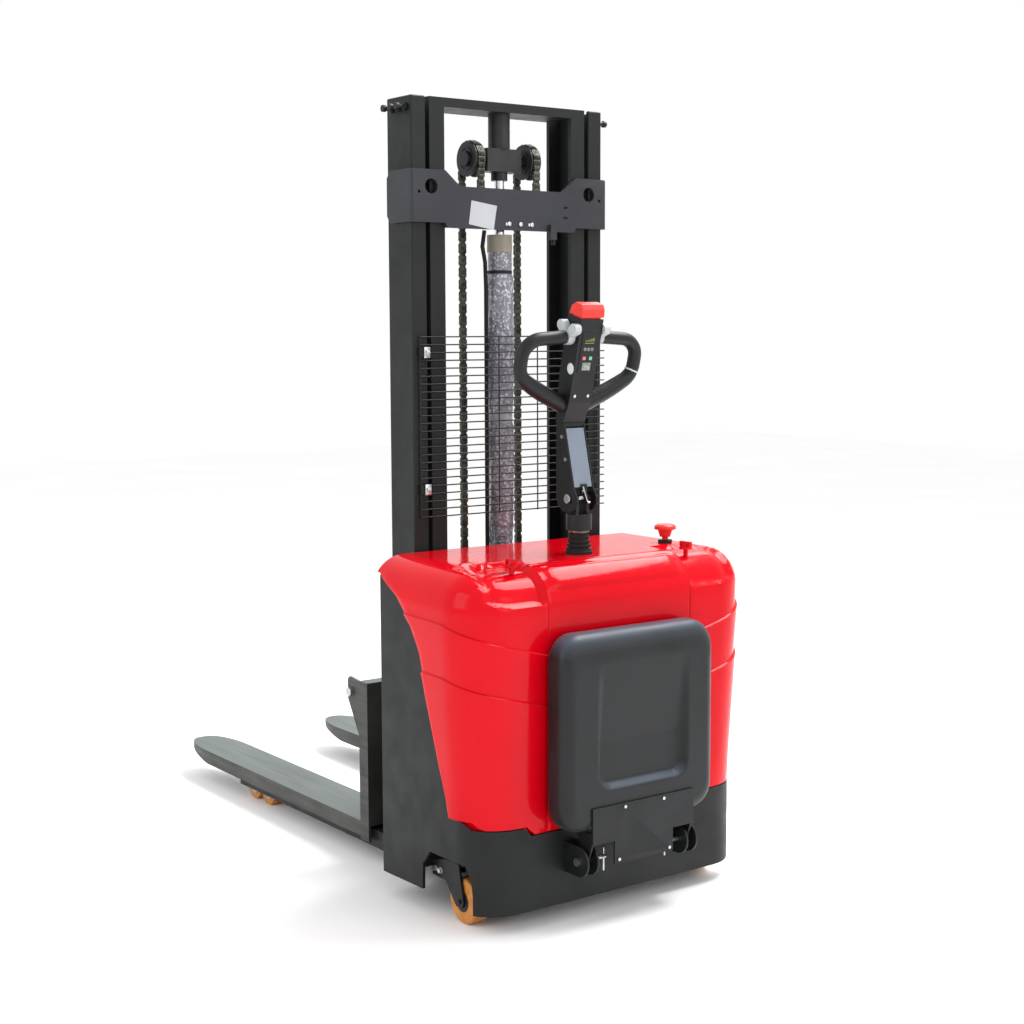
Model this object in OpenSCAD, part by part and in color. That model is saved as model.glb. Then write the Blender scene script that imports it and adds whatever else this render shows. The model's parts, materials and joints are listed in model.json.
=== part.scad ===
// Stand-on electric stacker: two-stage mast, tiller steering, fold-up platform.
// Millimetres, +Z up, +Y towards the fork tips, +X to the operator's right.
// Lengthwise places are measured forward from the rear face of the skirt;
// from_rear() then centres the whole machine on the origin.

/* [Chassis] */
// Width over the side plates
chassis_w = 855; // [840:1:880]
// Thickness of the skirt and side plates
skirt_t = 8; // [6:1:10]
// Outer radius of the skirt's rear corners
corner_r = 110; // [90:1:120]
// Lower edge of the skirt above the floor
skirt_bottom = 47; // [40:1:55]
// Top of the hood above the floor
hood_top = 883; // [880:1:890]
// Width of the hood at its widest
hood_w = 910; // [900:1:920]
// Wall of the moulded hood
hood_t = 6; // [4:1:8]

/* [Mast] */
// Height of the lowered mast
mast_h = 2041; // [2000:1:2060]
// Half width over the outer channels
outer_half = 308; // [306:1:312]
// Half width over the inner channels
inner_half = 251; // [249:1:252]
// Radius of the chain's centre line over its wheels
chain_r = 43; // [42:1:44]

/* [Forks] */
// Fork length from the shank's front face
fork_len = 1150; // [1100:10:1220]
// Width of one fork
fork_w = 147; // [145:1:150]
// Width over both forks
forks_over = 644; // [640:1:660]
// Top of the lowered forks above the floor
fork_top = 105; // [103:1:108]

/* [Wheels] */
// Drive wheel diameter
drive_d = 230; // [226:1:232]
// Caster wheel diameter
caster_d = 115; // [110:1:115]
// Load roller diameter
roller_d = 80; // [78:1:80]

/* [Hidden] */
$fn = 64;

charcoal = "#4a4b4d";
black = "#232425";
red = "#e3202a";
steel = "#b9bcbf";
orange = "#d98e3a";
half_w = chassis_w / 2;
run = 0.05;       // radial clearance of a running fit
gap = 0.5;        // clearance between moving pieces
eps = 1;          // how far a cutter runs past a face
deck_z = 170;     // underside of the base plate
deck_t = 8;
bulkhead_y = 441;
bulkhead_t = 8;
steer_y = 169;    // steering axis
well_r = 140;     // hole in the base plate for the drive unit
mast_rear = 463;
mast_front = 577;
mast_mid = (mast_rear + mast_front) / 2;
mast_foot = 60;
flange_t = 12;
web_t = 10;
outer_flange = 45;
inner_flange = 46;
inner_inset = 2;  // the inner mast stands this far inside the outer mast's faces
lift_y = 512;     // lift cylinder, crossbar and chain wheels
chain_x = 90;
wheel_z = 1896;
anchor_z = 1775;  // fixed ends of the chains, behind the cross plate
hook_z = 360;     // moving ends of the chains, on the carriage
shank_y = 690;
shank_t = 45;
shank_top = 497;
fork_heel = shank_y + shank_t;
fork_tip = fork_heel + fork_len;
fork_x = (forks_over - fork_w) / 2;
fork_wall = 8;
fork_bottom = 62;
roller_y = [1445, 1355];
caster_x = 365;
caster_y = 165;
caster_trail = 30;
tiller_z = 1025;  // tiller pivot
head_at = [0, 165, 1268];
head_lean = 14;
hinge_y = -55;
hinge_z = 165;
tray_back = -15;
tray_face = -88;
plate_face = -93;
rear_reach = 96;  // screw heads on the platform bracket
estop_at = [318, 200, hood_top];
latch_at = [280, 75, 874];
y_middle = (fork_tip - rear_reach) / 2;

module from_rear() { translate([0, -y_middle, 0]) children(); }
module both_sides() { for (s = [-1, 1]) scale_x(s) children(); }
module scale_x(s) { if (s < 0) mirror([1, 0, 0]) children(); else children(); }
// A box given by its ranges in X, Y and Z
module block(x, y, z) {
    translate([x[0], y[0], z[0]]) cube([x[1] - x[0], y[1] - y[0], z[1] - z[0]]);
}
// A cylinder along X from x0 to x1, centred on y, z
module axle(x0, x1, y, z, r) { translate([x0, y, z]) rotate([0, 90, 0]) cylinder(h = x1 - x0, r = r); }
// A YZ outline with points [y, z], extruded along X from x0 to x1
module side_plate(points, x0, x1) {
    translate([x0, 0, 0]) rotate([90, 0, 90]) linear_extrude(x1 - x0) polygon(points);
}
// An XZ outline with points [x, z], extruded along Y from y0 to y1
module face_plate(points, y0, y1) {
    translate([0, y1, 0]) rotate([90, 0, 0]) linear_extrude(y1 - y0) polygon(points);
}
// A round bar between two points
module rod(a, b, r) {
    d = b - a;
    translate(a) rotate([0, acos(d[2] / norm(d)), atan2(d[1], d[0])]) cylinder(h = norm(d), r = r);
}
// A round bar through a list of points, with slightly proud ball corners
module bent_rod(points, r) {
    for (i = [0:len(points) - 2]) rod(points[i], points[i + 1], r);
    for (i = [1:1:len(points) - 2]) translate(points[i]) sphere(r = 1.05 * r);
}

// ---- Chassis ----

module plan_outline(half, rear, r, front) {
    n = 10;
    polygon(concat([[half, front]],
        [for (i = [0:n]) [half - r + r * cos(90 * i / n), rear + r - r * sin(90 * i / n)]],
        [for (i = [n:-1:0]) [-(half - r + r * cos(90 * i / n)), rear + r - r * sin(90 * i / n)]],
        [[-half, front]]));
}

module chassis_frame() {
    color(charcoal) from_rear() difference() {
        union() {
            block([-half_w + skirt_t, half_w - skirt_t], [111, bulkhead_y], [deck_z, deck_z + deck_t]);
            block([-half_w + 116, half_w - 116], [skirt_t, 112], [deck_z, deck_z + deck_t]);
            block([-half_w + skirt_t, half_w - skirt_t],
                [bulkhead_y, bulkhead_y + bulkhead_t], [mast_foot, 835]);
            both_sides() {
                for (z = [110, 560])
                    block([266, 300], [bulkhead_y + bulkhead_t, mast_rear], [z, z + 60]);
                translate([caster_x, caster_y, 157]) cylinder(h = deck_z - 156, r = 32);
            }
            block([-300, 300], [bulkhead_y, 600], [45, mast_foot]);
        }
        translate([0, steer_y, deck_z - eps]) cylinder(h = deck_t + 2 * eps, r = well_r);
        both_sides() translate([caster_x, caster_y, 150]) cylinder(h = 40, r = 10 + run);
    }
}

// Side wing above the skirt band, and the arch over the caster
wing = [[441, 834], [436, 834], [412, 830], [327, 795], [259, 729], [227, 672],
    [206, 576], [162, 398], [125, 275], [125, skirt_bottom + 10], [263, 64], [441, 61]];
arch = [[56, 0], [56, 94], [60, 138], [76, 168], [221, 168], [253, 131], [258, 0]];
// Top line of the skirt seen from behind, with its lowered middle
skirt_line = [[-426, 276], [-414, 258], [-298, 256], [-278, 234], [278, 234], [298, 256],
    [414, 258], [426, 276], [426, 400], [-426, 400]];

module skirt() {
    color(charcoal) from_rear() difference() {
        union() {
            translate([0, 0, skirt_bottom]) linear_extrude(275 - skirt_bottom) difference() {
                plan_outline(half_w, 0, corner_r, 126);
                plan_outline(half_w - skirt_t, skirt_t, corner_r - skirt_t, 127);
            }
            both_sides() side_plate(wing, half_w - skirt_t, half_w);
        }
        face_plate(skirt_line, -eps, 100);
        both_sides() side_plate(arch, 300, half_w + eps);
    }
}

// Solid form of the hood; inset shrinks it on every side
module hood_form(inset) {
    r = 96;
    half = hood_w / 2 - inset;
    rear = -2 + inset;
    top = hood_top - inset;
    hull() {
        for (s = [[214, 22], [461, 11], [640, 3]])
            translate([0, 0, s[0]]) linear_extrude(1)
                plan_outline(half - s[1], rear + s[1] / 6, 120, 439);
        for (a = [0:18:90])
            translate([0, 0, top - r + r * sin(a) - 1]) linear_extrude(1)
                plan_outline(half - r * (1 - cos(a)), rear + r * (1 - cos(a)), 120, 439);
    }
}
// Where the side wings lie: the hood steps in behind them
module wing_zone(inset) {
    both_sides() translate([0, -inset, inset]) side_plate([[445, 838], [411, 834], [325, 798],
        [257, 732], [224, 674], [203, 577], [159, 399], [122, 276], [122, 100], [445, 100]],
        half_w - skirt_t - 1 - inset, 500);
}
module hood_wall() {
    difference() {
        difference() {
            hood_form(0);
            wing_zone(0);
        }
        difference() {
            translate([0, 1, 0]) hood_form(hood_t);
            wing_zone(hood_t);
        }
        block([-400, 400], [200, 500], [150, hood_top - 60]);
    }
}
module hood_trim() {
    // clear of the skirt band
    block([-500, 500], [-20, 600], [100, 236]);
    block([-500, 500], [90, 127], [100, 277]);
    face_plate([[-500, 278], [-424, 278], [-412, 260], [-296, 258], [-276, 236],
        [276, 236], [296, 258], [412, 260], [424, 278], [500, 278], [500, 100], [-500, 100]], -20, 130);
}
seam_x = 228;
panel_top_y = 84;

module hood_shell() {
    color(red) from_rear() difference() {
        hood_wall();
        hood_trim();
        block([-seam_x, seam_x], [-20, panel_top_y], [200, hood_top + 5]);
        translate([0, steer_y, 860]) cylinder(h = 40, r = 24);
        translate(estop_at - [0, 0, 30]) cylinder(h = 60, r = 9);
        both_sides() translate([latch_at[0], latch_at[1], 820]) cylinder(h = 80, r = 7);
    }
}

module hood_panel() {
    color(red) from_rear() difference() {
        intersection() {
            hood_wall();
            block([-seam_x + 1, seam_x - 1], [-20, panel_top_y - 1], [200, hood_top + 5]);
        }
        hood_trim();
    }
}

module battery() {
    color(black) from_rear() {
        block([-340, 340], [326, 430], [deck_z + deck_t, 640]);
        for (i = [-3:3]) translate([i * 90, 378, 640]) cylinder(h = 14, r = 16);
    }
}

module hydraulic_pack() {
    color("#8c9094") from_rear() {
        block([210, 370], [70, 250], [deck_z + deck_t, 400]);
        translate([290, 160, 400]) cylinder(h = 40, r = 62);
        translate([290, 160, 440]) cylinder(h = 170, r = 52);
    }
}

module controller() {
    color("#a9adb1") from_rear() {
        block([-370, -210], [100, 120], [deck_z + deck_t, 480]);
        block([-360, -220], [120, 190], [260, 460]);
        for (i = [0:5]) block([-350 + 24 * i, -340 + 24 * i], [190, 215], [270, 450]);
    }
}

module estop_housing() {
    color(black) from_rear() translate(estop_at) difference() {
        cylinder(h = 9, r = 19);
        translate([0, 0, -eps]) cylinder(h = 12, r = 8 + gap);
    }
}

module estop_button() {
    color(red) from_rear() translate(estop_at) {
        translate([0, 0, -22]) cylinder(h = 38, r = 8);
        translate([0, 0, 16]) cylinder(h = 20, r1 = 14, r2 = 20);
        translate([0, 0, 36]) cylinder(h = 9, r = 29);
        translate([0, 0, 45]) cylinder(h = 5, r1 = 29, r2 = 22);
    }
}

module latch(side) {
    color(red) from_rear() scale_x(side) translate(latch_at) {
        translate([0, 0, -30]) cylinder(h = 38, r = 6);
        translate([0, 0, 8]) cylinder(h = 6, r = 17);
        translate([0, 0, 14]) cylinder(h = 10, r = 7);
        translate([-5, -19, 14]) cube([10, 38, 14]);
    }
}
module latch_left() { latch(-1); }
module latch_right() { latch(1); }

module tiller_boot() {
    color(black) from_rear() translate([0, steer_y, hood_top]) difference() {
        union() {
            cylinder(h = 8, r = 35);
            for (i = [0:3]) translate([0, 0, 8 + 11 * i]) {
                cylinder(h = 6, r = 33 - 2 * i);
                translate([0, 0, 6]) cylinder(h = 5, r = 27 - i);
            }
        }
        translate([0, 0, -eps]) cylinder(h = 60, r = 20);
    }
}

// ---- Support legs and load rollers ----

module support_leg(side) {
    color(charcoal) from_rear() scale_x(side) {
        for (x = [193, 292]) block([x, x + 12], [600, 1500], [38, 88]);
        block([205, 292], [600, 1500], [82, 88]);
        block([205, 292], [600, 700], [50, 82]);
        block([210, 304], [mast_front, 600], [mast_foot, 160]);
        for (y = roller_y) axle(205, 292, y, roller_d / 2, 10);
    }
}
module support_leg_left() { support_leg(-1); }
module support_leg_right() { support_leg(1); }

module load_roller(side, which) {
    color(orange) from_rear() scale_x(side) difference() {
        axle(fork_x - 35, fork_x + 35, roller_y[which], roller_d / 2, roller_d / 2);
        axle(fork_x - 36, fork_x + 36, roller_y[which], roller_d / 2, 10 + run);
    }
}
module load_roller_left_front() { load_roller(-1, 0); }
module load_roller_left_rear() { load_roller(-1, 1); }
module load_roller_right_front() { load_roller(1, 0); }
module load_roller_right_rear() { load_roller(1, 1); }

// ---- Casters ----

module caster_fork(side) {
    axle_y = caster_y - caster_trail;
    color(black) from_rear() scale_x(side) {
        translate([caster_x, caster_y, 156]) cylinder(h = 21, r = 10);
        translate([caster_x, caster_y, 142]) cylinder(h = 14, r = 34);
        for (x = [-34, 28]) difference() {
            side_plate([[caster_y + 30, 150], [caster_y - 28, 150], [axle_y - 18, caster_d / 2],
                [axle_y - 12, 44], [axle_y + 14, 44], [caster_y + 30, 96], [caster_y + 88, 98],
                [caster_y + 88, 134]], caster_x + x, caster_x + x + 6);
            axle(caster_x + x - eps, caster_x + x + 7, axle_y, caster_d / 2, 6);
        }
        axle(caster_x - 38, caster_x + 38, axle_y, caster_d / 2, 6);
        // spacer between the cheeks, ahead of the wheel
        block([caster_x - 29, caster_x + 29], [caster_y + 38, caster_y + 84], [102, 132]);
    }
}
module caster_fork_left() { caster_fork(-1); }
module caster_fork_right() { caster_fork(1); }

module caster_wheel(side) {
    axle_y = caster_y - caster_trail;
    color(orange) from_rear() scale_x(side) translate([caster_x, axle_y, caster_d / 2])
        rotate([0, 90, 0]) difference() {
            union() {
                translate([0, 0, -20]) cylinder(h = 40, r = caster_d / 2);
                for (z = [-25, 20]) translate([0, 0, z])
                    cylinder(h = 5, r1 = z < 0 ? caster_d / 2 - 5 : caster_d / 2,
                        r2 = z < 0 ? caster_d / 2 : caster_d / 2 - 5);
            }
            translate([0, 0, -30]) cylinder(h = 60, r = 6 + run);
        }
}
module caster_wheel_left() { caster_wheel(-1); }
module caster_wheel_right() { caster_wheel(1); }

// ---- Drive unit and steering post ----

module drive_gearbox() {
    color("#7d8084") from_rear() translate([0, steer_y, 0]) difference() {
        union() {
            difference() {
                translate([0, 0, deck_z - 20]) cylinder(h = 96, r = 131);
                translate([0, 0, deck_z - 21]) cylinder(h = 86, r = 122);
            }
            difference() {
                translate([0, 0, deck_z + deck_t + gap]) cylinder(h = 12, r = 152);
                translate([0, 0, deck_z]) cylinder(h = 40, r = 130);
            }
            axle(46, 88, 0, drive_d / 2, 62);
            block([46, 88], [-55, 55], [drive_d / 2, deck_z + 70]);
        }
        axle(40, 90, 0, drive_d / 2, 16 + run);
    }
}

module drive_wheel() {
    color(black) from_rear() {
        difference() {
            axle(-38, 38, steer_y, drive_d / 2, drive_d / 2);
            axle(-39, -26, steer_y, drive_d / 2, 78);
            axle(26, 39, steer_y, drive_d / 2, 78);
        }
        axle(26, 92, steer_y, drive_d / 2, 16);
    }
}

module drive_motor() {
    color("#2e3033") from_rear() translate([0, steer_y, deck_z + 76]) {
        cylinder(h = 12, r = 96);
        translate([0, 0, 12]) cylinder(h = 190, r = 80);
        translate([0, 0, 202]) cylinder(h = 46, r = 62);
    }
}

module steer_post() {
    color("#5b5e62") from_rear() {
        translate([0, steer_y, deck_z + 324]) cylinder(h = 450, r = 19);
        translate([0, steer_y, 938]) cylinder(h = 7, r = 25);
        translate([0, steer_y, 944]) cylinder(h = 41, r = 33);
        both_sides() difference() {
            union() {
                block([12, 22], [steer_y - 16, steer_y + 16], [984, tiller_z]);
                axle(12, 22, steer_y, tiller_z, 16);
            }
            axle(10, 24, steer_y, tiller_z, 8);
        }
    }
}

module tiller_pin() {
    color(steel) from_rear() {
        axle(-33 - gap, 33 + gap, steer_y, tiller_z, 8);
        for (x = [-40, 33.5]) axle(x, x + 6.5, steer_y, tiller_z, 12);
    }
}

// ---- Tiller ----

arm_side = [[221, 1216], [188, 1216], [149, 1053], [135, 1030], [135, 1016], [147, 997],
    [169, 989], [195, 992], [214, 1006], [221, 1022]];
cover_slope = atan2(187.5 - 150, 1212 - 1055);

module tiller_arm() {
    color(black) from_rear() {
        both_sides() difference() {
            side_plate(arm_side, 29, 33);
            axle(20, 40, steer_y, tiller_z, 8 + run);
        }
        block([-29, 29], [216, 221], [1075, 1216]);
        block([-29, 29], [188, 216], [1206, 1216]);
    }
}

module tiller_cover() {
    color("#7f8794") from_rear() translate([0, 150, 1055]) rotate([-cover_slope, 0, 0])
        block([-28.5, 28.5], [1, 4], [0, 152]);
}

// Everything on the head is placed in its own leaning frame:
// x across, y forward from the operator's face, z up the face
module on_head() { from_rear() translate(head_at) rotate([head_lean, 0, 0]) children(); }

head_w = 70;
face_len = 214;
head_front = 56;

module tiller_head() {
    color(black) on_head() difference() {
        side_plate([[11.7, -56.4], [0, 0], [0, face_len], [head_front - 8, face_len],
            [head_front - 2, 204], [head_front, 60], [41.5, -63.8]], -head_w / 2, head_w / 2);
        // hollow, open towards the mast
        block([-29, 29], [10, 90], [-30, 145]);
        // round openings through both cheeks
        both_sides() axle(28.5, 40, 17, 84, 15);
        // guide and pocket for the belly button, and the key pockets
        block([-30.6, 30.6], [5.4, head_front - 13.4], [192, face_len + eps]);
        translate([0, 35, 180]) cylinder(h = 60, r = 12 + gap);
        for (x = [-10, 10]) block([x - 5, x + 5], [-1, 6], [110, 120]);
    }
}

loop_path = [[58.5, 30, 162], [150, 30, 156], [181, 30, 128], [181, 30, 62], [120, 30, 26],
    [30, 30, -15]];
loop_r = 17;
loop_arm_r = 21;  // the lower arms are thicker

module handle_loops() {
    color(black) on_head() difference() {
        both_sides() {
            bent_rod(loop_path, loop_r);
            bent_rod([loop_path[3], loop_path[4], loop_path[5]], loop_arm_r);
            axle(head_w / 2, 60, 30, 162, 9);
        }
        block([-head_w / 2, head_w / 2], [0, 60], [-60, 60]);
    }
}

module display_panel() {
    color("#3a3c3e") on_head() difference() {
        block([-24, 24], [-1.5, 0], [78, 180]);
        for (x = [-10, 10]) block([x - 5, x + 5], [-3, 3], [110, 120]);
    }
}

module key(x, colour) {
    color(colour) on_head() block([x - 4.5, x + 4.5], [-3, 3.5], [110.5, 119.5]);
}
module key_red() { key(-10, "#e8737c"); }
module key_green() { key(10, "#6fc6a0"); }

module tiller_screws() {
    color(steel) {
        on_head() for (x = [-21, 21]) translate([x, 0, 17]) rotate([90, 0, 0]) cylinder(h = 2, r = 4);
        from_rear() both_sides() for (p = [[195, 1181], [180, 1124]]) axle(33, 36, p[0], p[1], 5);
    }
}

// Butterfly lobes turn on the handle's spigots, one each side of the head
module throttle() {
    color("#d9dee0") on_head() both_sides() translate([37, 30, 162]) rotate([0, 90, 0])
        difference() {
            union() {
                cylinder(h = 19, r = 19);
                for (a = [-44, 44]) rotate([0, 0, 180 + a]) linear_extrude(19)
                    polygon(concat([[8, -9], [8, 9]],
                        [for (b = [80:-20:-80]) [36 + 14 * cos(b), 14 * sin(b)]]));
            }
            translate([0, 0, -eps]) cylinder(h = 25, r = 9 + gap);
        }
}

module belly_button() {
    color("#f4473c") on_head() {
        side_plate([[-1, face_len + 4.5], [1, face_len + 24], [10, face_len + 36],
            [34, face_len + 37], [48, face_len + 26], [54, face_len + 4.5]], -head_w / 2, head_w / 2);
        block([-30, 30], [6, head_front - 14], [198, face_len + 6]);
    }
}

// ---- Outer mast ----

// Channel section on the right-hand side, open towards the centre
module channel(outer, flange, rear, front, bottom, top) {
    difference() {
        block([outer - flange, outer], [rear, front], [bottom, top]);
        block([outer - flange - eps, outer - web_t], [rear + flange_t, front - flange_t],
            [bottom - eps, top + eps]);
    }
}

module outer_mast() {
    color(charcoal) from_rear() both_sides()
        channel(outer_half, outer_flange, mast_rear, mast_front, mast_foot, mast_h);
}

// Plate across the back of the outer mast, with ears round its sides
plate_t = 12;
module cross_plate() {
    rear = mast_rear - plate_t;
    color(charcoal) from_rear() difference() {
        union() {
            face_plate([[-317, 1724], [-212, 1724], [-206, 1712], [206, 1712], [212, 1724],
                [317, 1724], [317, 1857], [212, 1857], [166, 1818], [-166, 1818], [-212, 1857],
                [-317, 1857]], rear, mast_rear);
            both_sides() {
                side_plate([[rear, 1724], [550, 1724], [566, 1742], [566, 1838], [550, 1857],
                    [rear, 1857]], outer_half, 317);
                block([chain_x - 12, chain_x + 12], [mast_rear, 482], [1735, anchor_z]);
            }
            block([118, 138], [440, rear], [1690, 1730]);
        }
        both_sides() {
            translate([255, 440, 1815]) rotate([-90, 0, 0]) cylinder(h = 40, r = 19);
            translate([292, 440, 1800]) rotate([-90, 0, 0]) cylinder(h = 40, r = 4);
        }
        for (x = [-12, 62]) block([x - 10, x + 10], [440, 470], [1724, 1732]);
        translate([25, 440, 1728]) rotate([-90, 0, 0]) cylinder(h = 40, r = 5);
        for (z = [1750, 1777]) block([170, 183], [440, 470], [z - 3, z + 3]);
    }
}

// Wire guard in front of the operator
wires = 24;
wire_pitch = 20.2;
guard_z = 969;
module mast_guard() {
    color(black) from_rear() {
        for (i = [0:wires - 1]) axle(-290, 314, 456, guard_z + i * wire_pitch, 1.8);
        for (x = [-290, -42, 85, 290]) translate([x, 457.6, guard_z - 3])
            cylinder(h = (wires - 1) * wire_pitch + 6, r = 1.8);
        for (s = [-1, 1], z = [1041, 1394]) block([s * 284 - 9, s * 284 + 9], [454, mast_rear],
            [z - 12, z + 12]);
    }
}

module mast_bolts() {
    color("#6d7074") from_rear() both_sides() for (y = [485, 515, 547]) {
        axle(outer_half, 336, y, 2012, 6);
        axle(outer_half, 316, y, 2012, 10);
        axle(330, 340, y, 2012, 9);
    }
}

// ---- Lift cylinder ----

cyl_r = 28;
rod_r = 13;
cyl_top = 1700;
module lift_cylinder() {
    color("#3c3e41") from_rear() translate([0, lift_y, 0]) difference() {
        union() {
            translate([0, 0, mast_foot]) cylinder(h = cyl_top - mast_foot, r = cyl_r);
            translate([0, 0, 1660]) cylinder(h = 40, r = 32);
        }
        translate([0, 0, 100]) cylinder(h = cyl_top, r = rod_r + gap);
    }
}

module cylinder_wrap() {
    color("#b4b4bc") from_rear() translate([0, lift_y, 0]) difference() {
        translate([0, 0, 800]) cylinder(h = 858, r = 34.5);
        translate([0, 0, 799]) cylinder(h = 860, r = cyl_r);
    }
}

hose_path = [[-60, 496, 1712], [-64, 500, 1670], [-50, 508, 1630], [-46, 510, 1560],
    [-46, 510, 180], [-44, 512, 130], [-28, 512, 118]];
module hydraulic_hose() {
    color(black) from_rear() difference() {
        bent_rod(hose_path, 5.5);
        translate([0, lift_y, 100]) cylinder(h = 40, r = cyl_r);
    }
}

module piston_rod() {
    color("#d5d8da") from_rear() translate([0, lift_y, 120]) cylinder(h = wheel_z - 52 - 120, r = rod_r);
}

// ---- Inner mast ----

inner_rear = mast_rear + inner_inset;
inner_front = mast_front - inner_inset;
inner_foot = 72;
module inner_mast() {
    color(charcoal) from_rear() {
        both_sides() {
            channel(inner_half, inner_flange, inner_rear, inner_front, inner_foot, mast_h);
            // guide roller running in the outer channel
            axle(inner_half, 256, mast_mid, 130, 18);
            axle(256, 294, mast_mid, 130, 44.5);
        }
        block([-206, 206], [inner_rear, inner_front], [2017, mast_h]);
        block([-206, 206], [inner_rear, inner_rear + 10], [90, 170]);
    }
}

module lift_head() {
    color("#3a3b3d") from_rear() {
        translate([0, lift_y, wheel_z + 30]) cylinder(h = 2017 - wheel_z - 30, r = 29);
        block([-55, 55], [lift_y - 25, lift_y + 25], [wheel_z - 30, wheel_z + 30]);
        translate([0, lift_y, wheel_z - 52]) cylinder(h = 22, r = 22);
        both_sides() {
            axle(55, 108, lift_y, wheel_z, 12);
            axle(108, 114, lift_y, wheel_z, 20);
        }
    }
}

module chain_wheel(side) {
    color("#2c2d2e") from_rear() scale_x(side) difference() {
        union() {
            axle(chain_x - 15.5, chain_x + 15.5, lift_y, wheel_z, chain_r - 7.5);
            for (x = [-15.5, 10.5]) axle(chain_x + x, chain_x + x + 5, lift_y, wheel_z, chain_r + 3);
        }
        axle(chain_x - 20, chain_x + 20, lift_y, wheel_z, 12 + run);
    }
}
module chain_wheel_left() { chain_wheel(-1); }
module chain_wheel_right() { chain_wheel(1); }

chain_w = 18;
chain_t = 10;
module chain_wraps() {
    color("#4b463f") from_rear() both_sides() translate([chain_x, lift_y, wheel_z])
        rotate([90, 0, 90]) rotate_extrude(angle = 180)
            translate([chain_r - chain_t / 2, -chain_w / 2]) square([chain_t, chain_w]);
}
module strand(y, bottom) {
    both_sides() block([chain_x - chain_w / 2, chain_x + chain_w / 2], [y - chain_t / 2, y + chain_t / 2],
        [bottom, wheel_z]);
}
module front_chains() { color("#4b463f") from_rear() strand(lift_y + chain_r, hook_z); }
module rear_chains() { color("#6b655c") from_rear() strand(lift_y - chain_r, anchor_z); }

// ---- Carriage and forks ----

module carriage() {
    color(charcoal) from_rear() {
        both_sides() {
            side_plate([[477, 110], [shank_y, 110], [shank_y, shank_top], [560, shank_top],
                [477, 480]], 188, 200);
            for (z = [165, 430]) {
                axle(200, 206, mast_mid, z, 18);
                axle(206, 236, mast_mid, z, 42.5);
            }
            block([chain_x - 11, chain_x + 11], [lift_y + chain_r - 8, 582], [330, hook_z]);
        }
        block([-188, 188], [582, 600], [300, 370]);
        for (z = [[115, 205], [425, shank_top]]) {
            block([-200, 200], [675, shank_y], z);
            block([-174.5, 174.5], [shank_y, fork_heel], z);
        }
    }
}

// One fork blade's outline: straight sides, then a rounded, tapering tip
tip_len = 200;
function tip_arc(half, len) = [for (a = [0:10:180])
    [half * sign(cos(a)) * pow(abs(cos(a)), 0.8), len * pow(sin(a), 0.9)]];
module blade(inset, y0, z0, z1) {
    translate([fork_x, 0, z0]) linear_extrude(z1 - z0) polygon(concat(
        [[-fork_w / 2 + inset, y0]],
        [[fork_w / 2 - inset, y0]],
        [for (p = tip_arc(fork_w / 2 - inset, tip_len - inset)) p + [0, fork_tip - tip_len]]));
}

module fork(side) {
    low = fork_x - fork_w / 2;
    high = fork_x + fork_w / 2;
    color("#6f7674") from_rear() scale_x(side) {
        difference() {
            blade(0, shank_y, fork_bottom, fork_top);
            blade(fork_wall, shank_y - eps, fork_bottom - eps, fork_top - fork_wall);
            // underside rises to the tip
            side_plate([[1690, fork_bottom - eps], [1720, fork_bottom + 3], [fork_tip + 1, 92],
                [fork_tip + 1, fork_bottom - eps]], low - eps, high + eps);
        }
        block([low, high], [shank_y, fork_heel], [fork_top - eps, shank_top]);
        for (x = [low, high - fork_wall]) {
            block([x, x + fork_wall], [shank_y, fork_heel], [53, fork_top]);
            difference() {
                side_plate([[fork_heel - eps, 343], [fork_heel, 343], [786, 428], [793, 440], [793, 494],
                    [784, 502], [fork_heel + 5, shank_top], [fork_heel - eps, shank_top]],
                    x, x + fork_wall);
                axle(x - eps, x + fork_wall + eps, 771, 462, 8);
            }
        }
    }
}
module fork_left() { fork(-1); }
module fork_right() { fork(1); }

module carriage_bolts() {
    low = fork_x - fork_w / 2;
    high = fork_x + fork_w / 2;
    color(steel) from_rear() both_sides() for (x = [[low - 12, low + 20], [high - 20, high + 12]]) {
        axle(x[0], x[1], 771, 462, 8);
        axle(x[0] == low - 12 ? x[0] : high, x[0] == low - 12 ? low : x[1], 771, 462, 14, $fn = 6);
    }
}

// ---- Folding platform ----

module tray_slice(half, z0, z1, y) {
    r = 62;
    translate([0, y, 0]) rotate([90, 0, 0]) linear_extrude(1) hull() for (sx = [-1, 1])
        for (z = [z0 + r, z1 - r]) translate([sx * (half - r), z]) circle(r = r, $fn = 32);
}
module platform_tray() {
    color(black) from_rear() hull() {
        tray_slice(234, 246, 719, tray_back);
        tray_slice(241, 240, 725, tray_back - 8);
        tray_slice(241, 240, 725, tray_back - 45);
        tray_slice(236, 246, 718, tray_back - 57);
        tray_slice(216, 266, 700, tray_face + 1);
    }
}

module platform_bracket() {
    color(black) from_rear() {
        // lower corners cut away round the hinge ears
        face_plate([[-162, 301], [162, 301], [162, 211], [94, 211], [94, 153], [-94, 153], [-94, 211],
            [-162, 211]], plate_face, tray_face);
        both_sides() difference() {
            union() {
                side_plate([[tray_face - 1, 211], [hinge_y - 14, 158], [hinge_y + 12, 155],
                    [hinge_y + 12, 200], [tray_back - 10, 239.5], [tray_face - 1, 239.5]], 156, 162);
                axle(156, 162, hinge_y, hinge_z, 17);
            }
            axle(150, 170, hinge_y, hinge_z, 6 + run);
        }
        both_sides() for (p = [[62, 292], [81, 163]]) translate([p[0], plate_face, p[1]])
            rotate([90, 0, 0]) cylinder(h = 3, r = 4);
    }
}

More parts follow.
